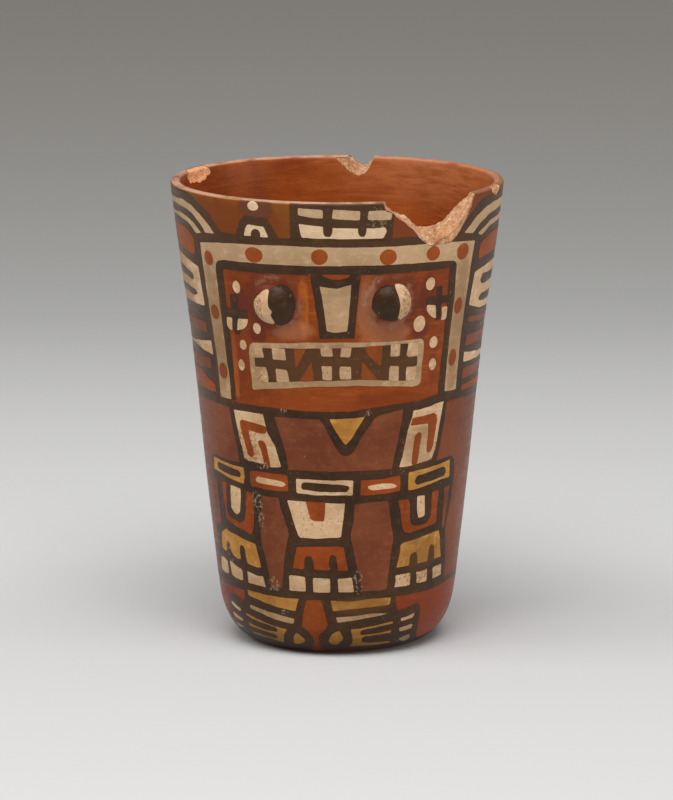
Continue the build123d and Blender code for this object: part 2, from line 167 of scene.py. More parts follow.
def thickness(height):
    if height < THINS_FROM:
        return WALL
    return WALL + (LIP - WALL) * (height - THINS_FROM) / (HEIGHT - THINS_FROM)


def eye_rise(angle, height):
    """How far the clay pellets push the coat out."""
    if abs(height - EYE_LEVEL) > 13:
        return 0.0
    for eye in (LEFT_EYE, RIGHT_EYE, LEFT_EYE + 180, RIGHT_EYE + 180):
        turn = math.radians(turned_to(angle, eye) - eye)
        if abs(turn) < 0.24:
            inside = EYE_BALL**2 - (height - EYE_LEVEL) ** 2 - (EYE_DEEP * math.sin(turn)) ** 2
            cap = EYE_DEEP * math.cos(turn) + math.copysign(math.sqrt(abs(inside)), inside)
            cap -= smooth_line(WALL_LINE, height)
            return (cap + math.sqrt(cap**2 + 4 * EYE_FILLET**2)) / 2
    return 0.0


def outside(angle, height):
    """Outside radius of the coat, with its eyes and its round lip."""
    radius = line_radius(angle, height) + eye_rise(angle, height)
    over = (height - HEIGHT + LIP_DROP) / LIP_DROP
    if over > 0:
        radius -= LIP / 2 * (1 - math.sqrt(max(0.0, 1 - over**2)))
    return radius


def spot(angle, radius, height):
    turn = math.radians(angle)
    return Vector((radius * math.sin(turn), -radius * math.cos(turn), height))


def on_wall(angle, height, lift):
    """A point that stands off the coat, and the direction that faces out there."""
    here = spot(angle, outside(angle, height), height)
    beside = spot(angle + 0.3, outside(angle + 0.3, height), height)
    step = 0.25 if height < HEIGHT - 0.5 else -0.25
    above = spot(angle, outside(angle, height + step), height + step)
    out = (beside - here).cross((above - here) * step).normalized()
    return here + out * lift, out


def grain(angle, height, share):
    """Roughness of broken clay."""
    place = spot(angle, 58 - 5 * share, height)
    leaves = noise.noise(Vector((share * 5.5, angle / 11, height / 9)))
    return 0.45 * noise.noise(place / 3.1) + 0.42 * noise.noise(place / 1.15) + 0.2 * noise.noise(place / 0.55) + 0.7 * leaves


def break_height(angle, share, coat=False):
    """Height of the broken surface, part of the way from the outer face to the inner one."""
    lowest = 999.0
    for outer, inner, coat_edge in BREAKS:
        at = turned_to(angle, (outer[0][0] + outer[-1][0]) / 2)
        low, high = straight_line(outer, at), straight_line(inner, at)
        if coat and share < 0.05:
            low = straight_line(coat_edge, at)
        if share < 0.05:
            edge = low
        elif share > 0.95:
            edge = high
        else:
            edge = min(999.0, low + (high - low) * share)
        if edge < 900:
            lowest = min(lowest, edge + 0.7 * grain(angle, edge, share))
    return lowest


def flaked(angle, height, share):
    """From 1 in the middle of a flake to 0 at its edge, and negative outside, and its depth."""
    best, depth = -1.0, 0.0
    for middle, level, half_width, half_height, bite, face in FLAKES:
        if abs(share - face) < 0.56:
            across = math.radians(turned_to(angle, middle) - middle) * 58 / half_width
            inside = 1 - math.hypot(across, (height - level) / half_height) + 0.28 * waver(angle, height, 2.2)
            if inside > best:
                best, depth = inside, bite
    return best, depth


def flat_mesh(outline):
    """Flat faces inside an outline of (angle, height) points."""
    points, _, faces, *_ = delaunay_2d_cdt([Vector(p) for p in outline], [], [range(len(outline))], 1, 0.0001)
    flat = bmesh.new()
    corners = [flat.verts.new((p.x, p.y, 0)) for p in points]
    for face in faces:
        flat.faces.new([corners[i] for i in face])
    bmesh.ops.recalc_face_normals(flat, faces=flat.faces[:])
    return flat


def slice_flat(flat, direction, places):
    for place in places:
        bmesh.ops.bisect_plane(
            flat,
            geom=flat.verts[:] + flat.edges[:] + flat.faces[:],
            dist=1e-4,
            plane_co=[place * d for d in direction],
            plane_no=direction,
        )


def steps(low, high, step):
    """Multiples of a step strictly between two values."""
    first = math.floor(low / step) + 1
    return [i * step for i in range(first, math.ceil(high / step))]


def span(flat):
    xs, ys = [v.co.x for v in flat.verts], [v.co.y for v in flat.verts]
    return min(xs), max(xs), min(ys), max(ys)


def gridded(flat):
    """Cuts a flat mesh along the lines that the walls are built on, so that it can follow them."""
    left, right, low, high = span(flat)
    slice_flat(flat, (1, 0, 0), steps(left, right, FLAT_STEP))
    rows = [0.8 * i for i in range(1, 25)] + [22 + 2.5 * i for i in range(59)]
    rows += [HEIGHT - LIP_DROP * (1 - math.sin(math.radians(15 * i))) for i in range(6)]
    slice_flat(flat, (0, 1, 0), [row for row in rows if low < row < high])
    for start, end, bottom, top in FINE + tuple((a - 180, b - 180, c, d) for a, b, c, d in FINE):
        if start < right and end > left and bottom < high and top > low:
            slice_flat(flat, (1, 0, 0), steps(max(start, left), min(end, right), FINE_STEP))
            slice_flat(flat, (0, 1, 0), steps(max(bottom, low), min(top, high), 0.75))
    return flat


def trim(flat, keep):
    """Cuts a flat mesh along the line where keep turns negative, and drops what lies past it."""
    value = {v: keep(v.co.x, v.co.y) for v in flat.verts}
    for edge in flat.edges[:]:
        start, end = edge.verts
        if value[start] * value[end] < 0:
            low, high = 0.0, 1.0
            for _ in range(9):
                middle = (low + high) / 2
                at = start.co.lerp(end.co, middle)
                if keep(at.x, at.y) * value[start] > 0:
                    low = middle
                else:
                    high = middle
            made = bmesh.utils.edge_split(edge, start, (low + high) / 2)[1]
            value[made] = 0.0
    for face in flat.faces[:]:
        cut = [v for v in face.verts if value[v] == 0.0]
        if len(cut) == 2 and not any(set(cut) == set(e.verts) for e in face.edges):
            bmesh.utils.face_split(face, cut[0], cut[1])
    lost = [f for f in flat.faces if sum(value[v] for v in f.verts) < 0]
    bmesh.ops.delete(flat, geom=lost, context="FACES")


def soften(outline, corner=0.55):
    """Rounds the corners of an outline, as a brush does."""
    rounded = []
    count = len(outline)
    for i, (angle, height) in enumerate(outline):
        here = Vector((angle, height))
        arms = []
        for other in (outline[i - 1], outline[(i + 1) % count]):
            arm = Vector(other) - here
            reach = math.hypot(arm.x * 0.9, arm.y)
            arms.append(here + arm * min(0.4, corner / max(reach, 0.01)))
        for s in (0.0, 0.33, 0.67, 1.0):
            rounded.append(arms[0] * (1 - s) ** 2 + here * (2 * s * (1 - s)) + arms[1] * s**2)
    return rounded


def hand_drawn(outline):
    """An outline with round corners and the small wavers of a brush."""
    drawn = []
    soft = soften(outline)
    for start, end in zip(soft, soft[1:] + soft[:1]):
        parts = max(1, int((end - start).length / 1.1))
        drawn += [start.lerp(end, i / parts) for i in range(parts)]
    moved = []
    for point in drawn:
        aside = 0.16 * waver(point.x, point.y, 4.0, 400) + 0.07 * waver(point.x, point.y, 1.3, 500)
        up = 0.16 * waver(point.x, point.y, 4.0, 600) + 0.07 * waver(point.x, point.y, 1.3, 700)
        moved.append((point.x + aside, point.y + up))
    return moved


def make_piece(name, points, faces, outs, finish, nodes):
    """A piece of the beaker, in metres, with the way that it faces at each point."""
    mesh = bpy.data.meshes.new(name)
    mesh.from_pydata([p * MM for p in points], [], faces)
    mesh.update()
    mesh.polygons.foreach_set("use_smooth", [True] * len(mesh.polygons))
    if outs:
        mesh.normals_split_custom_set_from_vertices(outs)
    mesh.materials.append(finish)
    piece = bpy.data.objects.new(name, mesh)
    bpy.context.scene.collection.objects.link(piece)
    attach(piece, "root")
    if nodes:
        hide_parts(*nodes)
    return piece


def paint(name, colour, daubs, both=True):
    """A piece of slip. Each daub is (layer, outline), laid on the front figure and on the back one."""
    points, faces, outs = [], [], []
    for layer, outline in daubs:
        flat = gridded(flat_mesh(hand_drawn(outline)))
        for turn in (0, 180) if both else (0,):
            copy = flat.copy()
            if span(copy)[3] > 149:
                trim(copy, lambda a, h: min(break_height(a + turn, 0, True) - h, -9 * flaked(a + turn, h, 0)[0]))
            copy.verts.index_update()
            first = len(points)
            for vert in copy.verts:
                here, out = on_wall(vert.co.x + turn, vert.co.y, layer)
                points.append(here)
                outs.append(out)
            for face in copy.faces:
                corners = [first + v.index for v in face.verts]
                faces.append(corners if face.normal.z > 0 else corners[::-1])
            copy.free()
        flat.free()
    nodes = [name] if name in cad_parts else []
    return make_piece("painted_" + name, points, faces, outs, SLIPS[colour], nodes)


def coat(name, rows, shares, finish, slot, nodes, inward):
    """A coat of slip turned through rows of (radius, height), cut away at the breaks and the flakes."""

    def row_at(position):
        i = min(int(position), len(rows) - 2)
        part = position - i
        radius = rows[i][0] + (rows[i + 1][0] - rows[i][0]) * part
        height = rows[i][1] + (rows[i + 1][1] - rows[i][1]) * part
        return radius, height, shares[i] + (shares[i + 1] - shares[i]) * part

    def kept(angle, position):
        _, height, share = row_at(position)
        if height < 145:
            return 1.0
        return min(break_height(angle, share, True) - height, -9 * flaked(angle, height, share)[0])

    bpy.ops.object.select_all(action="DESELECT")
    bpy.ops.mesh.primitive_grid_add(x_subdivisions=180, y_subdivisions=len(rows) - 1, size=2)
    blank = bpy.context.object
    flat = bmesh.new()
    flat.from_mesh(blank.data)
    bpy.data.objects.remove(blank)
    for vert in flat.verts:
        vert.co.x *= 180
        vert.co.y = (vert.co.y + 1) / 2 * (len(rows) - 1)
    for _ in range(2):
        near = []
        for edge in flat.edges:
            middle = (edge.verts[0].co + edge.verts[1].co) / 2
            height = row_at(middle.y)[1]
            for start, end, low, high in FINE + tuple((a - 180, b - 180, c, d) for a, b, c, d in FINE):
                if low < height < high and start < turned_to(middle.x, (start + end) / 2) < end:
                    near.append(edge)
                    break
        bmesh.ops.subdivide_edges(flat, edges=near, cuts=1, use_grid_fill=True)
    trim(flat, kept)
    for vert in flat.verts:
        angle, (radius, height, share) = vert.co.x, row_at(vert.co.y)
        bump = 0.0 if inward else eye_rise(angle, height)
        wave = 0.13 * waver(angle, height, 26) if height > 0.01 and radius > 20 else 0.0
        vert.co = spot(angle, radius + bump + wave, height) * MM
    bmesh.ops.remove_doubles(flat, verts=flat.verts[:], dist=0.00001)
    bmesh.ops.dissolve_degenerate(flat, edges=flat.edges[:], dist=0.000005)
    mesh = bpy.data.meshes.new(name)
    flat.normal_update()
    probe = flat.faces[:][len(flat.faces) // 2]
    faces_out = probe.normal.dot(Vector((probe.calc_center_median().x, probe.calc_center_median().y, 0))) > 0
    if faces_out == inward:
        bmesh.ops.reverse_faces(flat, faces=flat.faces[:])
    flat.to_mesh(mesh)
    flat.free()
    mesh.polygons.foreach_set("use_smooth", [True] * len(mesh.polygons))
    mesh.materials.append(finish)
    piece = bpy.data.objects.new(name, mesh)
    bpy.context.scene.collection.objects.link(piece)
    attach(piece, "root")
    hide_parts(*nodes)
    return piece


def plain_radius(height):
    """Outside radius without the waver of the wall."""
    radius = smooth_line(WALL_LINE, min(height, HEIGHT))
    if height < HEEL_HEIGHT:
        radius -= heel_drop(height)
    return radius


def lip_rows(start, end, count):
    """Points over the lip, from one share of its thickness to another."""
    rows, shares = [], []
    for i in range(count + 1):
        turn = math.acos(1 - 2 * (start + (end - start) * i / count))
        share = (1 - math.cos(turn)) / 2
        height = HEIGHT - LIP_DROP + LIP_DROP * math.sin(turn)
        rows.append((plain_radius(height) - share * thickness(height), height))
        shares.append(share)
    return rows, shares


def outer_coat():
    rows = [(22.5, 0.0)]
    for i in range(25):
        turn = math.radians(90 * i / 24)
        height = HEEL_HEIGHT * (1 - math.cos(turn))
        rows.append((plain_radius(height), height))
    top = HEIGHT - LIP_DROP
    count = 62
    for i in range(1, count):
        height = HEEL_HEIGHT + (top - HEEL_HEIGHT) * i / count
        rows.append((plain_radius(height), height))
    shares = [0.0] * len(rows)
    over, over_shares = lip_rows(0.0, 0.5, 8)
    return coat("burnished_outer_coat", rows + over, shares + over_shares, RED_ORANGE, "red_orange_slip",
                ["outer_coat"], False)


def inner_coat():
    over, over_shares = lip_rows(0.5, 1.0, 8)
    rows = list(over)
    bottom = FLOOR + INNER_ROUND
    top = HEIGHT - LIP_DROP
    for i in range(1, 56):
        height = top + (bottom - top) * i / 55
        rows.append((plain_radius(height) - thickness(height), height))
    corner = rows[-1][0]
    for i in range(1, 17):
        turn = math.radians(90 * i / 16)
        height = bottom - INNER_ROUND * math.sin(turn)
        rows.append((corner - 0.18 * (bottom - height) - INNER_ROUND * (1 - math.cos(turn)), height))
    edge = rows[-1][0]
    for share in (0.75, 0.5, 0.25, 0.0):
        rows.append((edge * share, FLOOR))
    shares = over_shares + [1.0] * (len(rows) - len(over))
    return coat("burnished_inner_coat", rows, shares, INNER, "inner_slip", ["inner_coat"], True)


def clay_wall():
    """The clay between the coats, with its rough broken edge."""
    angles = []
    angle = -180.0
    while angle < 180:
        angles.append(angle)
        near = any(turned_to(a - 1.5, angle) < angle < turned_to(a - 1.5, angle) + b - a + 3
                   for a, b in ((14.4, 58.5), (164.6, 181.6), (-126, -104), (64, 79)))
        angle += 0.25 if near else 2.0
    loops = []
    count = 22
    for angle in angles:
        loop = []
        heights = []
        for i in range(count + 1):
            share = (1 - math.cos(math.pi * i / count)) / 2
            over = HEIGHT - LIP_DROP + LIP_DROP * math.sin(math.acos(1 - 2 * share)) - CLAY_INSET
            heights.append((share, min(over, break_height(angle, share))))
        wall_top, inner_top = heights[0][1], heights[-1][1]
        outer_rows = [WALL_FOOT + (wall_top - 16 - WALL_FOOT) * i / 12 for i in range(12)]
        outer_rows += [wall_top - 16 + i for i in range(16)]
        for height in outer_rows:
            loop.append((0.0, height))
        loop += heights
        inner_rows = [inner_top - i for i in range(1, 12)]
        inner_rows += [inner_top - 11 - (inner_top - 11 - FLOOR) * i / 12 for i in range(1, 13)]
        for height in inner_rows:
            loop.append((1.0, height))
        ring = []
        for share, height in loop:
            inside, bite = flaked(angle, height, share)
            chipped = bite * min(1.0, 3 * max(0.0, inside)) * (0.8 + 0.4 * grain(angle, height, share))
            spalled = 0.0
            if share == 0.0 and height > break_height(angle, 0, True) - 0.05:
                spalled = 0.22 + 0.12 * grain(angle, height, 0)
            wide = thickness(height) - 2 * CLAY_INSET
            radius = line_radius(angle, height) - CLAY_INSET - share * wide
            radius += chipped * (2 * share - 1) - spalled
            sunk = chipped * max(0.0, height - HEIGHT + LIP_DROP) / LIP_DROP
            ring.append(spot(angle, radius, height - sunk))
        loops.append(ring)
    points = [p for ring in loops for p in ring]
    size = len(loops[0])
    faces = []
    for i in range(len(loops)):
        for j in range(size):
            a, b = i * size, (i + 1) % len(loops) * size
            faces.append((a + j, b + j, b + (j + 1) % size, a + (j + 1) % size))
    return make_piece("broken_clay_wall", points, faces, None, CLAY, ["clay_wall"])


def clay_base():
    """The slab under the wall, whose bare foot the beaker stands on."""
    section = [(0, 0.3), (14, 0.25), (21, 0.08), (24.5, 0.0), (27.2, 0.02), (31, 1.1), (34, 2.6), (36, 4.5), (30, 8.6), (0, 8.8)]
    points, faces = [], []
    for i in range(90):
        for radius, height in section:
            points.append(spot(4 * i, max(radius, 0.01) + (0.1 * waver(4 * i, height, 15) if radius > 1 else 0), height))
    size = len(section)
    for i in range(90):
        for j in range(size - 1):
            a, b = i * size, (i + 1) % 90 * size
            faces.append((a + j, b + j, b + j + 1, a + j + 1))
    faces.append([i * size for i in range(90)][::-1])
    faces.append([i * size + size - 1 for i in range(90)])
    return make_piece("clay_foot_slab", points, faces, None, CLAY, ["clay_base"])


def oval(left, right, low, high):
    """The outline of a round daub between two angles and two heights."""
    middle, level = (left + right) / 2, (low + high) / 2
    turns = [math.radians(24 * i) for i in range(15)]
    return [(middle + (right - left) / 2 * math.cos(t), level + (high - low) / 2 * math.sin(t)) for t in turns]


def bar(left, right, low, high):
    return [(left, low), (right, low), (right, high), (left, high)]


def on(layer, *outlines):
    """Daubs of one layer."""
    return [(layer, outline) for outline in outlines]


def across(half, middle):
    """An outline from its half on one side of a middle angle."""
    return list(half) + [(2 * middle - a, h) for a, h in reversed(half) if a != middle]


def linear(code, alpha=1.0):
    """A colour written as sRGB hex, as the linear values that the shaders use."""
    parts = [int(code[i : i + 2], 16) / 255 for i in (1, 3, 5)]
    return tuple(p / 12.92 if p <= 0.04045 else ((p + 0.055) / 1.055) ** 2.4 for p in parts) + (alpha,)


def add(tree, kind, inputs=None, **settings):
    """Adds a node. Its inputs are values, or sockets to link."""
    node = tree.nodes.new(kind)
    for name, value in settings.items():
        setattr(node, name, value)
    for name, value in (inputs or {}).items():
        if isinstance(value, bpy.types.NodeSocket):
            tree.links.new(value, node.inputs[name])
        else:
            node.inputs[name].default_value = value
    return node


def blended(tree, share, first, second):
    """One colour over another, by a share."""
    return add(tree, "ShaderNodeMix", {0: share, 6: first, 7: second}, data_type="RGBA").outputs[2]


def ranged(tree, value, low, high, start=0.0, end=1.0):
    """A value spread from one range to another, smoothly."""
    inputs = {"Value": value, "From Min": low, "From Max": high, "To Min": start, "To Max": end}
    return add(tree, "ShaderNodeMapRange", inputs, interpolation_type="SMOOTHSTEP").outputs["Result"]


def reckoned(tree, operation, *values):
    """The result of a sum, product or other sum of values."""
    return add(tree, "ShaderNodeMath", dict(enumerate(values)), operation=operation).outputs[0]


def clouds(tree, place, size, detail=4.0, rough=0.6, stretch=(1, 1, 1)):
    """Noise with bumps of a size in millimetres."""
    moved = add(tree, "ShaderNodeMapping", {"Vector": place, "Scale": stretch}).outputs[0]
    inputs = {"Vector": moved, "Scale": 1000 / size, "Detail": detail, "Roughness": rough}
    return add(tree, "ShaderNodeTexNoise", inputs).outputs["Fac"]


def wall_place(tree, place, both):
    """The angle and the height of a point on the wall, with the back figure laid over the front one or not."""
    parts = add(tree, "ShaderNodeSeparateXYZ", {"Vector": place})
    ahead = reckoned(tree, "MULTIPLY", parts.outputs["Y"], -1.0)
    turn = reckoned(tree, "ARCTAN2", parts.outputs["X"], ahead)
    angle = reckoned(tree, "DEGREES", turn)
    if both:
        angle = reckoned(tree, "WRAP", angle, 90.0, -90.0)
    height = reckoned(tree, "DIVIDE", parts.outputs["Z"], MM)
    return add(tree, "ShaderNodeCombineXYZ", {"X": angle, "Y": height}).outputs[0]


def away_from(tree, where, angle, height, wide, tall):
    """How far a point of the wall is from the middle of an oval: 1 on its edge."""
    sizes, middle = (1 / wide, 1 / tall, 0), (-angle / wide, -height / tall, 0)
    moved = add(tree, "ShaderNodeVectorMath", {0: where, 1: sizes, 2: middle}, operation="MULTIPLY_ADD").outputs[0]
    return add(tree, "ShaderNodeVectorMath", {0: moved}, operation="LENGTH").outputs["Value"]


def patches(tree, where, ragged, ovals):
    """A share that is 1 inside ragged ovals, each given by its angle, height, half width and half height."""
    share = 0.0
    for oval_place in ovals:
        torn = reckoned(tree, "MULTIPLY_ADD", ragged, 1.1, away_from(tree, where, *oval_place))
        share = reckoned(tree, "MAXIMUM", ranged(tree, torn, 1.75, 1.2), share)
    return share


def new_finish(name):
    finish = bpy.data.materials.new(name)
    finish.use_nodes = True
    tree = finish.node_tree
    shader = tree.nodes["Principled BSDF"]
    place = add(tree, "ShaderNodeTexCoord").outputs["Object"]
    return finish, tree, shader, place


def raise_bumps(tree, shader, *heights):
    """Bumps, each a (noise, depth in millimetres) pair."""
    normal = None
    for height, depth in heights:
        inputs = {"Height": height, "Distance": depth * MM, "Strength": 1.0}
        if normal:
            inputs["Normal"] = normal
        normal = add(tree, "ShaderNodeBump", inputs).outputs[0]
    tree.links.new(normal, shader.inputs["Normal"])


DUST = "#B7A284"
PLUM = "#54231A"

# Rubbed and scratched places on the front: angle, height, half width and half height
WORN = (
    (-37, 57.5, 3.2, 4.5), (-35.5, 51, 2.2, 4), (-31, 27, 4, 3), (-26, 17, 2.5, 1.6), (-61, 39, 2.2, 5),
    (-58.5, 30, 2.4, 5), (9.5, 31, 2.6, 3), (10.5, 26.5, 2.6, 2), (39, 5, 6, 2), (29, 70, 2.5, 1.6),
    (14, 163, 4.5, 4), (12.5, 92.2, 1.6, 1.4), (-33, 71.5, 4, 1.6), (-22, 92.5, 2, 1),
)

# Places where brown shows through in fine cracks, and places that are browned all over, of which the right side of the
# face frame is painted shade
CRACKLED = ((-30, 130, 3.5, 7), (25.5, 132.5, 3.2, 6.5), (-34, 107, 4, 6), (-40, 78, 7, 9), (41, 30, 12, 4))
BROWNED_AND_SHADED = (
    (-52.5, 120, 4.5, 30), (52, 122, 4.5, 30), (0, 109, 40, 9), (37, 78, 9, 9), (42, 38, 14, 7), (12, 20, 16, 3.5),
    (-90, 130, 26, 60),
)


def slip(name, main, deep, pale, under, wear, gloss, dusty, shine=0.13, cracks=0.0, plum=0.0):
    """Burnished clay slip: a satin painted layer, grainy, streaked by the brush, pitted and rubbed in places."""
    finish, tree, shader, place = new_finish(name)
    where = wall_place(tree, place, False)
    broad = clouds(tree, place, 20)
    streaks = clouds(tree, place, 9, 5.0, 0.65, (1, 1, 5))
    mottle = clouds(tree, place, 3.4, 5.0, 0.7)
    fine = clouds(tree, place, 0.95, 3.0, 0.7)
    pits = clouds(tree, place, 0.8, 2.0, 0.5, (1, 1, 1.4))
    colour = blended(tree, ranged(tree, broad, 0.36, 0.66), linear(main), linear(deep))
    colour = blended(tree, ranged(tree, streaks, 0.5, 0.78, 0.0, 0.5), colour, linear(pale))
    colour = blended(tree, ranged(tree, mottle, 0.5, 0.74, 0.0, 0.5), colour, linear(pale))
    colour = blended(tree, ranged(tree, fine, 0.5, 0.72, 0.0, 0.45), colour, linear(deep))
    rubbed = reckoned(tree, "MULTIPLY", ranged(tree, mottle, 0.4, 0.28), ranged(tree, fine, 0.4, 0.56))
    colour = blended(tree, reckoned(tree, "MULTIPLY", rubbed, wear), colour, linear(under))
    colour = blended(tree, ranged(tree, pits, 0.68, 0.74, 0.0, 0.6), colour, linear("#2A170C"))
    cracked = reckoned(tree, "MULTIPLY_ADD", patches(tree, where, mottle, CRACKLED), 0.13, fine)
    colour = blended(tree, ranged(tree, cracked, 0.62, 0.68, 0.0, cracks), colour, linear(under))
    # Browned places darken the slip; on the right side of the face frame this is painted shade.
    browned_and_shaded = reckoned(tree, "MULTIPLY", patches(tree, where, mottle, BROWNED_AND_SHADED), 0.36)
    colour = blended(tree, browned_and_shaded, colour, linear("#6E4420"))
    if plum:
        dark = patches(tree, where, mottle, ((-28.7, 166, 9, 6),))
        colour = blended(tree, reckoned(tree, "MULTIPLY", dark, plum), colour, linear("#4C2C26"))
    worn = patches(tree, where, mottle, WORN)
    flecks = reckoned(tree, "MULTIPLY_ADD", worn, 0.16, clouds(tree, place, 0.85, 3.0, 0.6, (1, 1, 0.7)))
    colour = blended(tree, ranged(tree, flecks, 0.68, 0.74, 0.0, dusty), colour, linear(DUST))
    height = add(tree, "ShaderNodeSeparateXYZ", {"Vector": where}).outputs["Y"]
    # Painted light: the slips grow paler towards the rim, where the top light falls.
    colour = blended(tree, ranged(tree, height, 138, 160, 0.0, 0.32), colour, linear(pale))
    # Painted shade: the slips grow darker towards the foot, and much darker in its last few millimetres.
    colour = blended(tree, ranged(tree, height, 40, 22, 0.0, 0.16), colour, linear("#5A3A22"))
    colour = blended(tree, ranged(tree, height, 13, 2, 0.0, 0.6), colour, linear("#1E1008"))
    tree.links.new(colour, shader.inputs["Base Color"])
    rough = ranged(tree, streaks, 0.3, 0.7, gloss - 0.06, gloss + 0.08)
    tree.links.new(rough, shader.inputs["Roughness"])
    shader.inputs["IOR"].default_value = 1.45
    shader.inputs["Specular IOR Level"].default_value = shine
    raise_bumps(tree, shader, (streaks, 0.1), (fine, 0.05), (pits, -0.05))
    return finish


def coat_slip(name, main, deep, pale, figure, gloss):
    """Burnished red slip: polished with a pebble in level strokes, so that it shines in soft streaks."""
    finish, tree, shader, place = new_finish(name)
    parts = add(tree, "ShaderNodeSeparateXYZ", {"Vector": place})
    broad = clouds(tree, place, 26)
    streaks = clouds(tree, place, 10, 5.0, 0.6, (1, 1, 6))
    mottle = clouds(tree, place, 4.0, 5.0, 0.7)
    fine = clouds(tree, place, 1.2, 3.0, 0.7)
    pits = clouds(tree, place, 0.7, 2.0, 0.5)
    colour = blended(tree, ranged(tree, broad, 0.38, 0.64), linear(main), linear(deep))
    strength = 0.6 if figure else 0.32
    colour = blended(tree, ranged(tree, streaks, 0.48, 0.75, 0.0, strength), colour, linear(pale))
    colour = blended(tree, ranged(tree, mottle, 0.5, 0.76, 0.0, 0.5), colour, linear(deep))
    if figure:
        colour = stained(tree, place, colour, clouds(tree, place, 11, 3.0), mottle, fine)
    else:
        # Painted highlight: the upper right of the inner wall is lightened where a lamp's reflection falls.
        painted_highlight = reckoned(tree, "MULTIPLY", ranged(tree, parts.outputs["Z"], 0.142, 0.166), 0.6)
        painted_highlight = reckoned(tree, "MULTIPLY", painted_highlight, ranged(tree, parts.outputs["X"], -0.02, 0.03, 0.1, 1.0))
        painted_highlight = reckoned(tree, "MULTIPLY", painted_highlight, ranged(tree, streaks, 0.3, 0.6, 0.5, 1.0))
        colour = blended(tree, painted_highlight, colour, linear("#CC7C4C"))
    # Pale band on the top of the lip: partly a worn rim, partly a painted highlight, stronger on the left half.
    lip = ranged(tree, parts.outputs["Z"], 0.1680, 0.1687)
    rubbed = reckoned(tree, "MULTIPLY", lip, ranged(tree, streaks, 0.3, 0.55, 0.1, 0.7))
    rubbed = reckoned(tree, "MULTIPLY", rubbed, ranged(tree, parts.outputs["X"], 0.05, 0.0, 0.3, 1.0))
    colour = blended(tree, rubbed, colour, linear("#DCAE90"))
    colour = blended(tree, ranged(tree, fine, 0.56, 0.78, 0.0, 0.4), colour, linear(deep))
    colour = blended(tree, ranged(tree, pits, 0.67, 0.75, 0.0, 0.5), colour, linear("#2A170C"))
    tree.links.new(colour, shader.inputs["Base Color"])
    rough = ranged(tree, streaks, 0.3, 0.7, gloss - 0.05, gloss + 0.1)
    tree.links.new(rough, shader.inputs["Roughness"])
    shader.inputs["IOR"].default_value = 1.45
    shader.inputs["Specular IOR Level"].default_value = 0.19
    raise_bumps(tree, shader, (streaks, 0.12), (mottle, 0.05), (pits, -0.05))
    return finish


def stained(tree, place, colour, broad, mottle, fine):
    """Plum stains and a pale worn ring round each eye, bright strips, and a browner coat over the brow."""
    where = wall_place(tree, place, True)
    height = add(tree, "ShaderNodeSeparateXYZ", {"Vector": where}).outputs["Y"]
    colour = blended(tree, ranged(tree, height, 151, 157, 0.0, 0.85), colour, linear("#7E4C18"))
    ruddy = patches(tree, where, mottle, ((28, 162, 12, 12), (62, 165, 14, 8)))
    colour = blended(tree, reckoned(tree, "MULTIPLY", ruddy, 0.8), colour, linear("#76351A"))
    plum = patches(tree, where, mottle, ((-28.7, 166, 6.4, 4.6),))
    colour = blended(tree, reckoned(tree, "MULTIPLY", plum, 0.85), colour, linear("#4E2A20"))
    colour = blended(tree, ranged(tree, height, 28, 23, 0.0, 0.35), colour, linear("#82351C"))
    colour = blended(tree, ranged(tree, height, 66, 60, 0.0, 0.25), colour, linear("#82351C"))
    bright = patches(tree, where, mottle, ((-43.7, 107, 1.6, 13), (-12.5, 131, 2.2, 11)))
    colour = blended(tree, reckoned(tree, "MULTIPLY", bright, 0.6), colour, linear("#C46A22"))
    deep = patches(tree, where, mottle, ((-37, 118, 10, 26), (-45, 160, 30, 8), (-66, 50, 9, 60), (24, 96, 16, 4)))
    colour = blended(tree, reckoned(tree, "MULTIPLY", deep, 0.6), colour, linear("#742C04"))
    stains = patches(tree, where, mottle, (
        (LEFT_EYE, 131.6, 12.6, 12.2), (RIGHT_EYE, 132.2, 13, 12.6), (-37.5, 131.5, 3.6, 5), (-31.5, 120.5, 4.4, 4.2),
        (35, 134, 4.5, 7.5), (32.5, 121.5, 4.2, 4.6),
    ))
    colour = blended(tree, reckoned(tree, "MULTIPLY", stains, 0.62), colour, linear(PLUM))
    dusty = patches(tree, where, mottle, ((11, 129, 4, 13), (19, 121, 10, 5), (-17, 122, 8, 4)))
    colour = blended(tree, reckoned(tree, "MULTIPLY", dusty, 0.28), colour, linear("#C68C64"))
    trails = patches(tree, where, mottle, ((-40, 109, 2.2, 10), (40.5, 108, 2, 9)))
    colour = blended(tree, reckoned(tree, "MULTIPLY", trails, 0.4), colour, linear("#6E2A18"))
    for angle, strength in ((LEFT_EYE + 1.2, 0.35), (RIGHT_EYE - 1, 0.55)):
        away = away_from(tree, where, angle, EYE_LEVEL + 0.6, 8.9, 9.0)
        wandering = reckoned(tree, "MULTIPLY_ADD", mottle, 0.5, away)
        off = reckoned(tree, "ABSOLUTE", reckoned(tree, "SUBTRACT", wandering, 1.25))
        torn = reckoned(tree, "MULTIPLY_ADD", fine, 0.8, off)
        ring = reckoned(tree, "MULTIPLY", ranged(tree, torn, 0.62, 0.3, 0.0, strength), ranged(tree, broad, 0.42, 0.6))
        colour = blended(tree, ring, colour, linear("#B08268"))
    return colour


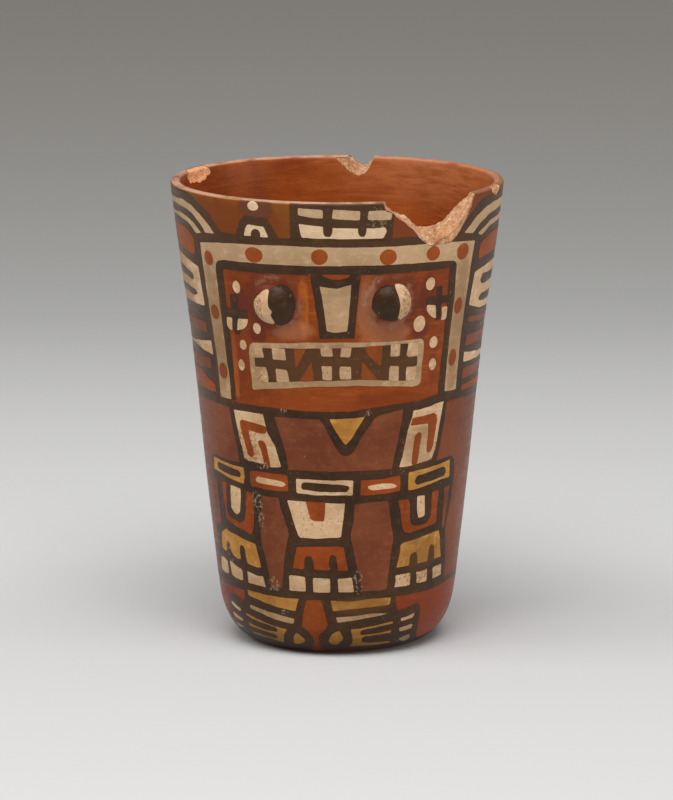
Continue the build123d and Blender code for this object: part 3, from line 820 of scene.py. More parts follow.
def broken_clay(name):
    """Low fired clay, broken and never wiped: matt, gritty, pinkish buff, in thin leaves along the wall."""
    finish, tree, shader, place = new_finish(name)
    parts = add(tree, "ShaderNodeSeparateXYZ", {"Vector": place})
    across_wall = reckoned(tree, "SQRT", reckoned(
        tree, "ADD", reckoned(tree, "POWER", parts.outputs["X"], 2.0), reckoned(tree, "POWER", parts.outputs["Y"], 2.0)
    ))
    depth = reckoned(tree, "MULTIPLY_ADD", parts.outputs["Z"], -0.13, across_wall)
    leaf_place = add(tree, "ShaderNodeCombineXYZ", {
        "X": reckoned(tree, "MULTIPLY", depth, 3.2), "Y": parts.outputs["X"],
        "Z": reckoned(tree, "MULTIPLY", parts.outputs["Z"], 0.6),
    }).outputs[0]
    leaves = clouds(tree, leaf_place, 2.4, 5.0, 0.65)
    broad = clouds(tree, place, 7, 5.0, 0.7)
    grit = clouds(tree, place, 0.9, 4.0, 0.75)
    crumbs = add(tree, "ShaderNodeTexVoronoi", {"Vector": place, "Scale": 900.0}).outputs["Distance"]
    colour = blended(tree, ranged(tree, broad, 0.35, 0.65), linear("#D09E78"), linear("#B87A50"))
    colour = blended(tree, ranged(tree, leaves, 0.5, 0.68, 0.0, 0.75), colour, linear("#EBCDA8"))
    colour = blended(tree, ranged(tree, leaves, 0.46, 0.34, 0.0, 0.6), colour, linear("#96603A"))
    where = wall_place(tree, place, False)
    orange = patches(tree, where, leaves, ((44, 155, 5, 3.5), (71.6, 168, 8, 4)))
    colour = blended(tree, reckoned(tree, "MULTIPLY", orange, 0.36), colour, linear("#E0A06C"))
    # The left flake of the lip: fresher, more orange clay, made paler as painted light, since it faces away from the
    # lamps.
    fresh_and_lit = patches(tree, where, leaves, ((-114.5, 167, 16, 7),))
    colour = blended(tree, reckoned(tree, "MULTIPLY", fresh_and_lit, 0.8), colour, linear("#FFB078"))
    colour = blended(tree, ranged(tree, grit, 0.52, 0.7, 0.0, 0.7), colour, linear("#F0D2B2"))
    colour = blended(tree, ranged(tree, grit, 0.42, 0.3, 0.0, 0.8), colour, linear("#7E4A2C"))
    tree.links.new(colour, shader.inputs["Base Color"])
    shader.inputs["Roughness"].default_value = 0.9
    shader.inputs["Specular IOR Level"].default_value = 0.2
    raise_bumps(tree, shader, (leaves, 0.5), (grit, 0.35), (crumbs, 0.2))
    return finish


RED_ORANGE = coat_slip("red_orange_slip_burnished", "#8E4010", "#79320C", "#AA5A1C", True, 0.34)
INNER = coat_slip("inner_slip_burnished", "#9A4612", "#82360C", "#B4661E", False, 0.34)
CLAY = broken_clay("low_fired_clay_broken")
SLIPS = {
    "black": slip("black_brown_slip_burnished", "#442B17", "#322010", "#5E4026", "#7A4A2A", 0.35, 0.33, 0.5, shine=0.22),
    "cream": slip("cream_slip_burnished", "#D8B28A", "#BE966D", "#EFD9B8", "#8A5C36", 0.7, 0.42, 0.3, cracks=0.7),
    "grey": slip("grey_buff_slip_burnished", "#BE9973", "#A3835C", "#D6B692", "#704A2C", 0.6, 0.4, 0.4),
    "ochre": slip("ochre_slip_burnished", "#C68E42", "#A9722F", "#E0B064", "#6E4424", 0.8, 0.4, 0.4),
    "maroon": slip("maroon_slip_burnished", "#80462B", "#6E3822", "#905432", "#4E2A1C", 0.5, 0.34, 0.4, plum=0.9),
    "red": slip("dark_red_slip_burnished", "#984619", "#803813", "#AC5C28", "#502616", 0.5, 0.36, 0.4),
}


def headdress():
    block = [(-16.2, 155), (-16.2, 168.5), (14.8, 168.5), (20, 168.5), (19.3, 160), (19.3, 155)]
    upper = (
        [(-13.2, 167), (-4.8, 166.4), (-4.7, 163.4), (-8, 163.5), (-13.2, 164.3)],
        [(-1.4, 166.6), (7.7, 166.1), (7.7, 162.7), (3, 162.9), (-1.7, 163.3)],
        [(10.5, 166), (15.5, 166), (19, 165.5), (18.8, 164.4), (18.5, 162.5), (14, 162.6), (10.3, 162.7)],
    )
    lower = [
        (-13.2, 161.2), (-4.8, 160.4), (-1.5, 160), (7.1, 159.8), (13, 159.6), (16.5, 160), (17.2, 158.5),
        (16, 155.9), (0, 156), (-12.2, 156.3),
    ]
    fingers = (
        [(-4.9, 161.4), (-1.4, 161.4), (-1.7, 158), (-2.3, 156.7), (-4, 156.7), (-4.6, 158)],
        [(7.1, 161), (10, 161), (9.9, 158), (9.3, 156.7), (7.8, 156.7), (7.2, 158)],
    )
    halo = [
        (-34.8, 168.4), (-34.6, 165), (-33, 162.8), (-25, 162.3), (-23.8, 163.5), (-22.8, 166), (-22.5, 168.4),
    ]
    body = [
        (-33, 163), (-25, 162.8), (-24, 162), (-22.5, 159), (-20, 155), (-38, 155), (-36.5, 158), (-35.2, 161),
    ]
    arch = [(-33.9, 155.7), (-33, 158.5), (-32.1, 159.9), (-25.9, 159.5), (-25.2, 158), (-24.2, 155.7)]
    keyhole = [
        (-31, 155.2), (-30.9, 156.8), (-30.4, 157.9), (-29.2, 158.6), (-27.9, 158.2), (-27.2, 157), (-27.2, 155.2),
    ]
    paint("tassel_halo", "maroon", on(LINE, halo))
    paint("headdress_black", "black", on(LINE, block) + on(CELL, body) + on(MARK, *fingers) + on(TOP, keyhole))
    paint("headdress_cream", "cream", on(CELL, lower, oval(-31.6, -27.3, 165, 168.4)) + on(MARK, arch))
    paint("headdress_cream_upper", "grey", on(CELL, *upper))


def face_frame():
    crown = [
        (-57.6, 94), (-58, 105), (-58.4, 120), (-58.6, 135), (-59, 151.6), (-55, 153.4), (-50, 154.6), (-44, 155.8),
        (-38, 155.7), (0, 155.9), (20, 155.8), (37, 155.6), (45, 155.2), (52, 154.2), (59.4, 152.4), (59, 135),
        (58.6, 110), (58.8, 95), (44.4, 95), (44.6, 103), (45.3, 115), (45.1, 130), (44.3, 142.9), (0, 142.9),
        (-45.3, 142.4), (-45.2, 120), (-45, 100), (-45.4, 94),
    ]
    frame_band = [
        (-54.5, 94.2), (-54.7, 105), (-56, 125), (-56.4, 135), (-57, 150.5), (-52, 151.2), (-45, 151.9), (-40, 152.3),
        (-20, 153.1), (15, 152.8), (33, 152.7), (45, 152.2), (57.5, 151.2), (56.6, 143), (56, 125), (55.8, 115),
        (56, 96.7), (48.3, 97), (48.4, 110), (48.7, 130), (48, 142), (47.9, 143.8), (47, 145), (45, 145.4), (35, 145.9),
        (10, 146.3), (-30, 146), (-44, 145.8), (-47.5, 144.9), (-48.6, 143.8), (-49, 142), (-49, 125), (-48.5, 108),
        (-47.7, 102), (-47.7, 94.2),
    ]
    dots = [
        oval(-34.1, -26.8, 146.1, 151.8), oval(-9.1, -3.2, 146.6, 152.4), oval(14.9, 21.3, 146.1, 151.9),
        oval(33, 38.9, 146.3, 151.7), oval(47.3, 53.9, 145, 151.2), oval(-55.1, -49.9, 142.7, 148.1),
        oval(-55.3, -50, 122.9, 128.4), oval(-54, -48.8, 101.2, 107.2), oval(49.3, 53.9, 124.9, 131.2),
        oval(49.2, 54, 106, 112.2),
    ]
    chin = [
        (-90, 95), (-70, 95), (-60, 94.8), (-45, 93.3), (-25, 93.2), (-10, 92.7), (5, 92.8), (15, 94), (25, 94.8),
        (35, 95.2), (44.5, 96.5), (56, 96), (70, 95), (90, 95), (90, 91.5), (58, 93), (27.5, 92.7), (17, 91),
        (14.5, 89.6), (0, 90), (-26, 89.9), (-47, 90.8), (-60, 91.5), (-90, 91.5),
    ]
    paint("frame_lines_black", "black", on(LINE, crown, chin))
    paint("face_frame_grey", "grey", on(CELL, frame_band))
    paint("frame_dots_red", "red", on(MARK, *dots))


def nose():
    outline = [
        (-9.8, 143.5), (8.6, 143.5), (8, 138), (7.6, 133), (7, 127), (6.6, 119.6), (-6.6, 119.6), (-7.3, 127),
        (-8.3, 134), (-9.3, 140),
    ]
    blade = [
        (-6.2, 138.9), (-3, 138.2), (0, 137.9), (2, 138.5), (5.1, 139.4), (4.8, 134), (4.3, 128), (3.8, 122.2),
        (-1.5, 121.9), (-3.9, 122.3), (-4.4, 127), (-5.2, 133),
    ]
    brow = [(-5.5, 143.1), (5, 143.1), (3.5, 141.8), (1, 141.2), (-2, 141.3), (-4.5, 142.2)]
    paint("nose_black", "black", on(LINE, outline))
    paint("nose_grey", "grey", on(CELL, blade))
    paint("nose_brow_red", "red", on(CELL, brow))


def painted_eyes():
    whites = (
        [
            (-25.2, 137.1), (-27, 136.3), (-29, 134.5), (-30.8, 132.5), (-31.6, 130.5), (-31.2, 128.3), (-30, 126.3),
            (-28, 125), (-24, 124.2), (-22, 126.5), (-22, 134.5),
        ],
        [
            (21, 139.1), (23, 139), (25, 138), (26.5, 136), (27.5, 133.5), (27.8, 131.5), (27, 129), (25.5, 127.3),
            (22.9, 126), (21, 128), (21, 136),
        ],
    )
    pupils = (
        [
            (-24.4, 137), (-22.6, 138.3), (-20.5, 139), (-18, 138.5), (-16.3, 136.5), (-15.2, 133.5), (-15.5, 130),
            (-16.5, 127), (-18.5, 124.8), (-21, 123.7), (-22.9, 124.2), (-23.7, 128), (-22.9, 129.3), (-24.2, 131),
        ],
        [
            (12.4, 131), (12.7, 134), (13.9, 136.5), (15.8, 138.2), (18, 138.9), (20.6, 138.6), (21.5, 135.5),
            (22.2, 132), (22, 128.5), (21.6, 126), (19.6, 125.8), (17, 126.5), (14.7, 128), (13.2, 129.5),
        ],
    )
    paint("eye_whites_cream", "cream", on(CELL, *whites))
    paint("pupils_black", "black", on(MARK, *pupils))


def cheeks():
    dots = [
        oval(-41.1, -37.4, 134.1, 138.7), oval(-33.2, -29.9, 119.9, 124.1), oval(-40.5, -37, 113.4, 117.1),
        oval(-42, -38.7, 105.5, 109.7), oval(33.8, 37.9, 135.6, 140.3), oval(29.7, 35, 120.6, 126.6),
        oval(37.8, 41.9, 113.9, 118.3), oval(38.4, 42.2, 105.7, 110.2),
    ]
    cells = [
        [(-45.9, 124.8), (-42.9, 124.8), (-43.5, 120), (-44.8, 120.2), (-46.2, 121.5)],
        [(-40, 124.8), (-35.1, 125), (-35.8, 122.8), (-37.5, 121.3), (-41, 120.2)],
        [(35, 130.3), (39.2, 129.9), (39.5, 128), (39.8, 124.8), (38, 125.3), (36.3, 126.8), (35, 128.5)],
        [(42.3, 128.8), (45.3, 128.6), (45.2, 124), (42.6, 123.7), (42.7, 126)],
    ]
    crosses = [
        [(-42.9, 133.5), (-39.5, 133.5), (-39.4, 120.2), (-40.2, 118.7), (-42, 118.7), (-42.9, 120)],
        bar(-46.2, -35.3, 124.8, 128.1),
        [(38.9, 136.5), (41.9, 136.5), (42.2, 124.4), (40.4, 123.6), (39.3, 124.8)],
        bar(34.8, 45.3, 130, 132.8),
    ]
    paint("cheek_crosses_black", "black", on(LINE, *crosses[::2]) + on(CELL, *crosses[1::2]))
    paint("cheek_marks_cream", "cream", on(CELL, *dots) + on(MARK, *cells))


def mouth():
    lips = [
        (-36.2, 113), (-35.5, 115.5), (-34, 116.6), (-20, 117.3), (-12, 118), (0, 118.3), (15, 118.1), (33, 118),
        (34.8, 117.4), (35.3, 115), (35.3, 112), (35, 108), (35, 102), (33.8, 100.9), (31, 100.6), (25, 101.2),
        (8, 102.3), (-10, 101.9), (-20, 100.8), (-30, 99.9), (-34, 99.2), (-35.6, 99.3), (-36, 108),
    ]
    gape = [
        (-29.8, 115), (-26, 115), (-20, 115.5), (-10, 115.9), (5, 116.3), (20, 116.7), (28.2, 116.9), (28, 113),
        (28.3, 111.7), (32.6, 111.7), (32.6, 108.2), (28, 108.2), (27.9, 106), (28, 103.1), (20, 103.8), (9, 104.5),
        (-9, 104), (-20, 103.3), (-28, 102.4), (-28.2, 106.5), (-28.8, 107.9), (-33.7, 107.8), (-33.7, 111.1),
        (-29.3, 111.4), (-29.6, 113),
    ]
    teeth = (
        [(-33.4, 111.1), (-29.3, 111.5), (-29.6, 113), (-30.1, 114.8), (-33.3, 114.8)],
        [(-25.7, 115.2), (-20.2, 115.2), (-19.9, 111), (-25.5, 111.1)],
        [(-6.4, 116.2), (-1.9, 116.2), (-1.7, 113), (-5.8, 113.1), (-6.3, 114.3)],
        [(1.6, 116.3), (5.5, 116.2), (4.9, 112.8), (1.2, 113)],
        [(20.9, 116.9), (24.8, 116.9), (24.6, 112.4), (20.8, 112.4)],
        [(28.3, 117), (31.5, 116.8), (32.6, 115.5), (32.6, 112), (28, 112), (27.5, 113), (28, 115)],
        [(-33.2, 107.8), (-28.8, 108), (-28.2, 106.5), (-27.8, 103.5), (-28.1, 102.4), (-32, 102.8), (-33.3, 104)],
        [(-24.6, 107.9), (-19.7, 107.5), (-18.9, 103.3), (-24.4, 102.9)],
        [(-6, 109.5), (-2, 109.5), (-2, 104.4), (-5.6, 104.5), (-5.7, 107)],
        [(1.1, 109.4), (5.4, 109.3), (5.6, 104.7), (1.2, 104.7), (0.9, 107)],
        [(20.7, 109), (24.6, 108.7), (24.8, 103.3), (20.5, 103.8)],
        [(28, 108.3), (32.4, 108), (32.6, 104.5), (31.8, 103.2), (28, 103), (27.8, 106)],
    )
    fangs = (
        [(-16.6, 115.4), (-11.8, 115.6), (-16, 108.5), (-16.3, 109)],
        [(-14.8, 103.8), (-9, 104), (-9.8, 110.8), (-10.2, 110.5)],
        [(10.5, 116.6), (17.6, 116.6), (17.3, 112), (16.9, 109), (15, 110.5), (11.5, 114)],
        [(9.8, 111), (12.5, 108), (15.3, 105), (15.8, 104.2), (12, 104.5), (9.3, 104.7), (9.5, 108)],
    )
    paint("lips_grey", "grey", on(CELL, lips))
    paint("mouth_black", "black", on(MARK, gape))
    paint("teeth_cream", "cream", on(TOP, *teeth))
    paint("fangs_red", "red", on(TOP, *fangs))


def tunic():
    body = [(-90, 69), (90, 69), (90, 92.5), (-90, 92.5)]
    neck = [
        (-7.6, 90.6), (-5, 87.2), (-3, 83.5), (-1, 80), (0.5, 78), (2, 76.8), (3.6, 76.3), (5.3, 76.8), (6.8, 78),
        (8.5, 80.5), (10, 83.5), (12, 86), (14, 88.3), (15.4, 90.6),
    ]
    collar = [
        (-3, 90), (5, 90.2), (11.2, 90.7), (9.5, 88.3), (7, 84.5), (5.3, 82), (3.5, 80.5), (2.5, 81.5), (0, 84.8),
        (-1.6, 87.3),
    ]
    borders = (
        [(-49.8, 91.5), (-48.2, 83), (-46.3, 76), (-45.6, 70.5), (-20.8, 70.5), (-21, 73), (-22, 78), (-26.4, 90.5)],
        [(27.5, 93), (27, 88), (25.5, 80), (24, 73), (23.7, 70.5), (46.7, 70.5), (48.2, 76), (49.5, 84), (50.6, 93.8)],
    )
    sleeves = (
        [
            (-46.8, 90.6), (-31.3, 90.4), (-30.3, 86.1), (-29.8, 83.7), (-28.6, 82), (-26.4, 79), (-25.2, 75),
            (-24.1, 71.5), (-29, 71), (-32.2, 72), (-40.3, 72.3), (-42.6, 73.2), (-43.3, 76), (-44.8, 81), (-45.2, 83),
        ],
        [
            (32.3, 91.7), (36, 91.8), (44, 93), (48.4, 93.4), (47.3, 88), (46, 79), (45.2, 76), (43.7, 72.6),
            (40, 72.2), (31.8, 71.2), (27, 71.1), (28.2, 75), (29.3, 80), (30.1, 84), (30.7, 86), (31.8, 89),
        ],
    )
    frets = (
        [
            (-43.7, 86.2), (-43.2, 87), (-41.5, 87.3), (-35, 86.7), (-30.3, 86), (-29.9, 84), (-31, 83.1), (-35, 83.3),
            (-39.2, 83.8), (-38.8, 81), (-37.3, 77), (-37.1, 74.5), (-38.7, 73.6), (-40.3, 74.6), (-41, 77),
            (-42.6, 81), (-43, 82),
        ],
        [
            (-34.5, 80.2), (-33.5, 80.7), (-31.5, 80.4), (-30.6, 79), (-29.7, 75), (-29, 71.2), (-32.2, 71),
            (-32.5, 74), (-33.3, 77), (-34.6, 79.5),
        ],
        [
            (31.8, 88), (32, 88.9), (38, 89.2), (43, 89.8), (44.7, 88.8), (45.1, 87), (44.6, 82), (43.8, 77.5),
            (43, 75.7), (41.5, 75), (40.3, 76), (40.2, 79), (40.6, 82), (40.4, 86), (36, 86.1), (31.2, 86.3),
        ],
        [
            (33.8, 82.3), (35, 83.3), (36.5, 83.3), (37.2, 82.5), (36.8, 79), (36.4, 75), (35.8, 72), (34.5, 71.2),
            (32.8, 71.8), (33.1, 77), (33.4, 80),
        ],
    )
    paint("tunic_maroon", "maroon", on(GROUND, body))
    paint("collar_black", "black", on(LINE, neck, *borders))
    paint("collar_ochre", "ochre", on(CELL, collar))
    paint("sleeves_cream", "cream", on(CELL, *sleeves))
    paint("sleeve_frets_red", "red", on(MARK, *frets))


def belt():
    strap = [
        (-69, 60.5), (-69.3, 66), (-68.4, 70), (-66, 71.2), (-50, 70.9), (0, 70.7), (30, 71), (50, 71.6), (57, 72),
        (60, 70.5), (61.2, 66), (61, 60.5),
    ]
    ochre = (
        [
            (-66, 70.2), (-60, 69.9), (-50, 69.4), (-43.4, 69.3), (-43.2, 66), (-43.9, 63.2), (-52, 64), (-62, 65.4),
            (-66.8, 65.6),
        ],
        [(31.8, 68.8), (42, 69.5), (50, 70.1), (56.4, 70.6), (57.2, 64), (50, 64), (40, 62.6), (32, 62)],
    )
    red = (
        [(-39.8, 68.5), (-36, 69), (-21.3, 68.6), (-21.3, 62.6), (-30, 62.4), (-39.5, 63), (-40, 65)],
        [(10, 67.3), (20, 67.3), (24, 67.9), (27.8, 68), (27.9, 62.3), (20, 61.7), (10, 61.7)],
    )
    middle = [(-17.5, 67.6), (0, 67.4), (6.8, 67.4), (6.7, 61.8), (-10, 61.8), (-17.5, 62.2)]
    dashes = (
        [
            (-37, 66), (-35.7, 67), (-32, 66.8), (-24, 66.2), (-22.3, 65.5), (-22.3, 64.8), (-24, 64.2), (-35.5, 64.6),
            (-37, 65.2),
        ],
        [(13, 64.3), (13.5, 65.2), (20, 65.7), (23.5, 65.6), (26.5, 64.4), (25.5, 63.6), (15, 63.4)],
    )
    slots = (
        [
            (-62.8, 68), (-62, 69), (-54, 68.5), (-46.4, 67.8), (-45.3, 66.6), (-46, 65.4), (-52, 65.3), (-60, 66.1),
            (-62.5, 66.6),
        ],
        [(-15.4, 64.5), (-15, 66), (-14, 66.5), (0, 66), (5, 65.3), (5.3, 64.5), (4, 63), (-7, 63.1), (-14.8, 63.7)],
        [
            (35.2, 66), (36, 67.1), (44, 68), (51.5, 68.7), (53.5, 68), (54, 66.5), (53, 65.2), (45, 64.4),
            (36.5, 63.8), (35, 64.8),
        ],
    )
    paint("belt_black", "black", on(CELL, strap) + on(TOP, *slots))
    paint("belt_ochre", "ochre", on(MARK, *ochre))
    paint("belt_red", "red", on(MARK, *red))
    paint("belt_cream", "cream", on(MARK, middle) + on(TOP, *dashes))


def limbs():
    ground = [
        (-69, 62), (-70, 55), (-71, 45), (-74.5, 34), (-75, 26), (-74, 24), (62, 25), (61, 33), (58, 45),
        (60.5, 55), (61, 62),
    ]
    thighs = (
        [
            (-34.5, 60), (-26, 60), (-25.5, 57), (-23.7, 52), (-22.3, 49), (-22, 46), (-23, 43), (-24.2, 39),
            (-25, 35), (-25.7, 31), (-26.5, 27), (-27.5, 25.5), (-31, 25), (-32.5, 26), (-33, 29), (-34.8, 37),
            (-35.8, 40), (-36.3, 45), (-36, 50), (-35.3, 54),
        ],
        [
            (7.5, 58.5), (15, 59), (22.5, 59), (23.5, 55), (24.5, 50), (25.5, 46.5), (26, 44.5), (25.5, 42), (24.2, 31),
            (24, 27), (23.5, 25.6), (12, 25.6), (11, 28), (10.5, 32), (8.5, 37), (7.5, 41), (6.3, 45), (6.3, 48),
            (7.3, 52),
        ],
    )
    sides = [(57, 24), (118, 24), (112, 45), (112, 71), (58, 71), (55, 45)]
    paint("limbs_black", "black", on(LINE, ground))
    paint("legs_maroon", "maroon", on(CELL, *thighs) + on(GROUND, sides))


def cuffs_and_hands():
    cuffs = (
        [
            (-60, 62), (-59.8, 55), (-59.5, 50), (-59, 48.2), (-57, 47.7), (-51, 46.3), (-44, 45.1), (-41.7, 44.8),
            (-40.3, 47), (-39.5, 50), (-39.2, 55), (-38.9, 60.5), (-43.3, 60.5), (-43.2, 59.5), (-44, 54), (-44.8, 51),
            (-45.5, 49.8), (-47, 48.5), (-49, 48), (-52, 48.8), (-55, 49.3), (-56.5, 50), (-57.5, 52), (-57, 59),
            (-56, 62.2),
        ],
        [
            (27.3, 58.9), (32.5, 58.8), (33.4, 57), (33.6, 54), (34, 51), (34.5, 49.5), (36, 48.6), (38.5, 48.3),
            (42, 48.6), (44.5, 49.3), (45.8, 51), (46, 53), (45.6, 57), (45.6, 60.2), (49.9, 60), (50, 57), (49.8, 53),
            (50.3, 49), (50, 48), (42, 47), (37, 46.3), (34, 46), (31.5, 46.5), (30.3, 48.3), (29.5, 51), (28.5, 55.5),
        ],
    )
    strips = (
        [(-68.6, 62), (-64.6, 62), (-64.4, 54), (-64.6, 47), (-66.5, 44.5), (-69.4, 45), (-68.8, 54)],
        [(54, 60.5), (58.2, 61), (57, 50), (56.6, 45.5), (54.6, 45.2), (54.2, 52)],
    )
    bars = (
        [
            (-53.2, 61.8), (-46.4, 61.2), (-46.6, 58), (-47.3, 55), (-48, 52.5), (-49.7, 51.2), (-50.8, 51),
            (-52.5, 51.8), (-54, 53), (-53.9, 56),
        ],
        [(37, 59.5), (41.3, 59.4), (41.6, 56), (42.1, 52), (41.8, 51.5), (39.5, 51.2), (38.3, 51.3), (37.5, 54)],
    )
    palms = (
        [
            (-66, 42), (-60, 44.5), (-58.5, 43.6), (-52, 43), (-44, 41.7), (-40, 41.4), (-39.3, 39), (-38.3, 35.5),
            (-37.7, 32.6), (-40, 32.4), (-46, 33.2), (-46.6, 35), (-47, 38.5), (-48.5, 39.9), (-50.3, 39.3),
            (-50.8, 37), (-50.5, 34.3), (-53, 33.9), (-57, 35.3), (-58.5, 37), (-58.6, 39), (-60.5, 40), (-61.8, 38.5),
            (-62, 36), (-63, 35.3), (-67.3, 36.2), (-67, 38),
        ],
        [
            (29.8, 42), (31.5, 42.7), (36, 43), (47, 44.5), (52.8, 44.8), (54, 42), (55, 38), (56.5, 34.3), (51, 34.3),
            (50.6, 38), (50, 39.5), (48.5, 40.3), (47, 39.5), (46.5, 38), (46.5, 33.9), (40, 33.9), (39.6, 37),
            (38.8, 38.2), (37.5, 38.4), (36, 38), (35.4, 37), (35.2, 33.8), (28.4, 33.6), (28.7, 35), (29.7, 39),
        ],
    )
    nails = (
        [
            (-70, 32.4), (-68.8, 32.6), (-65, 32.2), (-62.8, 31.7), (-62.5, 29), (-62.8, 27), (-66, 26.6),
            (-72, 27.2), (-72.3, 28.5), (-71, 30.5),
        ],
        [
            (-60.5, 32), (-59, 32.2), (-55, 31), (-51, 30.4), (-50.2, 29.5), (-50.3, 26.6), (-51.5, 26.1),
            (-56, 26.3), (-59.5, 27), (-60, 29),
        ],
        [(-46.8, 30.1), (-40, 29.3), (-36.8, 29.4), (-35.7, 25.4), (-44, 25.8), (-46.6, 25.9)],
        [(28, 30.6), (36.3, 30.8), (36.5, 26.2), (27.7, 26.1), (28.5, 28.5)],
        [(39.7, 30.8), (43, 30.8), (46.7, 31.3), (47.3, 26.4), (40.5, 26.4), (40.3, 28.5)],
        [(50.8, 31), (54, 31.3), (57.8, 31.5), (58.5, 27.2), (55, 27), (51.5, 26.7)],
        bar(-22.8, -14.9, 25.4, 31.1),
        bar(-11.2, -3.2, 25.3, 30.7),
        [(0.3, 30.6), (6.7, 30.9), (7.2, 29), (8, 25.5), (0.7, 25.5), (0.5, 28)],
    )
    paint("cuffs_red", "red", on(MARK, *cuffs))
    paint("side_strips_maroon", "maroon", on(MARK, *strips))
    paint("cuff_bars_cream", "cream", on(MARK, *bars))
    paint("palms_ochre", "ochre", on(CELL, *palms))
    paint("nails_cream", "cream", on(CELL, *nails))


def panel():
    cloth = [
        (-22, 59.3), (3.5, 58.8), (3, 55), (2.3, 50), (1.7, 46.2), (-2, 46), (-8, 45.6), (-16.7, 45.6), (-17.5, 46.5),
        (-19, 50), (-20.5, 55),
    ]
    notch = [(-13.5, 59.3), (-5, 59.2), (-5.2, 56), (-5.7, 52), (-10.5, 52.2), (-11.8, 52.8), (-12.4, 55)]
    fringe = [
        (-18.3, 42), (-12, 42.5), (0, 42.7), (2.8, 42.4), (3.5, 40), (4.3, 37), (5.1, 33.5), (0.4, 33.6), (0, 37),
        (-0.5, 39), (-2, 39.6), (-3.3, 39), (-3.7, 37), (-3.7, 33.6), (-10.6, 34), (-10.9, 37), (-11.5, 38.6),
        (-13, 39), (-14.5, 38.6), (-15.1, 37), (-15.3, 33.8), (-20.6, 34), (-19.5, 38),
    ]
    paint("panel_cream", "cream", on(CELL, cloth))
    paint("fringe_red", "red", on(CELL, fringe) + on(MARK, notch))


def feet():
    line = [
        (-90, 22.4), (50, 22.7), (60, 23.6), (70, 24), (90, 22.4), (90, 25.3), (70, 26), (60, 25.6), (-90, 25.3),
    ]
    ground = [
        (-73, 3), (-73, 8), (-71, 12), (-68, 16), (-65, 19.5), (-60, 20), (-52, 18.6), (-50.5, 20), (-50, 23.2),
        (28.6, 23.5), (29.5, 19), (30.5, 17), (35, 17.6), (40, 18.5), (42.5, 18.7), (44.5, 17.5), (45.3, 14),
        (45.8, 10), (47, 7), (49, 5), (53, 3),
    ]
    sole_line = [(-90, 1.4), (90, 1.4), (90, 3.6), (-90, 3.6)]
    wedge = [
        (-14.5, 22.3), (-8, 22.5), (-7, 21), (-5.8, 17), (-4.6, 13), (-5.5, 11.5), (-8.5, 9.5), (-9.5, 8), (-9.5, 6),
        (-9, 3.5), (-8, 1.6), (-16, 1.6), (-13.5, 4), (-12.3, 6), (-12.8, 8), (-14.5, 9.8), (-17.8, 11.8), (-17, 15),
        (-15.8, 19),
    ]
    ochre = (
        [
            (-48, 23), (-38, 22.6), (-30, 22.4), (-18.4, 22.4), (-19.3, 20.5), (-20.3, 17.7), (-30, 18.5), (-40, 20),
            (-47.5, 21),
        ],
        [
            (-51.5, 13.7), (-42, 12.2), (-36, 11), (-29, 10.3), (-26, 10.2), (-27.5, 9), (-28.8, 7.5), (-30, 5.5),
            (-31, 4.2), (-33, 4.2), (-38, 5), (-52, 5.4), (-52, 6.3), (-43, 6), (-34.5, 5.6), (-33.3, 6.2), (-34, 7),
            (-36, 7.5), (-42, 8), (-52, 8.8), (-52, 9.8), (-40, 8.5), (-33, 8.4), (-31.8, 9.2), (-32.5, 10.2),
            (-38, 10.9), (-48, 12.1), (-51.8, 13),
        ],
        [
            (-21.3, 9), (-19.5, 8.1), (-17.5, 6.9), (-17.1, 6.1), (-18.5, 5), (-20.5, 4.5), (-23, 4.1), (-24, 4.2),
            (-24.2, 5.5), (-23.5, 7), (-22.5, 8),
        ],
        [
            (-3.2, 22.3), (6, 21.8), (14, 22.5), (26.5, 22.5), (25.8, 19.8), (12, 19.2), (-2.1, 18.4), (-2.6, 20.5),
        ],
        [
            (6.9, 11), (12, 11.4), (18, 12), (28.7, 13.2), (28.8, 12.2), (20, 11.5), (12.8, 10.7), (11.8, 10),
            (11.9, 9), (12.7, 8.6), (20, 8.8), (28.6, 9.6), (28.7, 8.6), (15, 7.9), (13.5, 7.7), (13, 7), (13.2, 6),
            (14, 5.3), (20, 4.9), (29.5, 4.9), (31, 4), (15, 3.8), (6.6, 3.8), (8, 5), (8.4, 6.5), (7.8, 8.5),
        ],
        [
            (1.4, 10.4), (2.2, 9), (3.4, 7.5), (2.5, 6.5), (0.5, 5), (-1, 4.6), (-3, 5), (-4.6, 6.2), (-3.9, 7.5),
            (-2.5, 9.2), (-0.5, 10.2),
        ],
    )
    grey = (
        [
            (-47, 17.5), (-38, 16.5), (-30, 15.7), (-21.2, 14.7), (-22, 12.6), (-32, 13.6), (-44, 15.7), (-47.2, 16),
        ],
        [(-0.5, 15.9), (10, 16.4), (17, 17), (21, 16.8), (25, 16.5), (22, 16), (12, 15), (0.3, 13.7), (-0.2, 14.8)],
    )
    toes = (
        [(-64.5, 16), (-63, 16.5), (-60, 15.6), (-55.3, 14.6), (-56, 13.8), (-57.5, 13.6), (-60, 14.2), (-64.5, 15.2)],
        [(-66.3, 11.5), (-65, 12.3), (-61, 11.5), (-56.5, 10.6), (-57, 9.7), (-59, 9.6), (-65.5, 10.2)],
        [(-70, 7), (-66, 7.8), (-61, 7.4), (-59, 7), (-64, 6.2), (-68, 6.3)],
        [(33, 13.8), (36, 14.1), (41, 15.1), (41.3, 14.2), (40, 13.2), (36, 12.9), (33.4, 12.6)],
        [(33.3, 10.2), (37, 10.4), (40, 10.9), (42, 10.5), (41.5, 9), (38, 8.7), (34, 8.5)],
        [(35, 5.2), (38, 6), (42, 6.5), (44, 5), (42, 3.7), (39, 3.9), (36.5, 4.9)],
    )
    paint("feet_black", "black", on(LINE, ground, line) + on(GROUND, sole_line))
    paint("feet_wedge_red", "red", on(CELL, wedge))
    paint("feet_ochre", "ochre", on(CELL, *ochre))
    paint("feet_grey", "grey", on(CELL, *grey))
    paint("toes_cream", "cream", on(CELL, *toes))


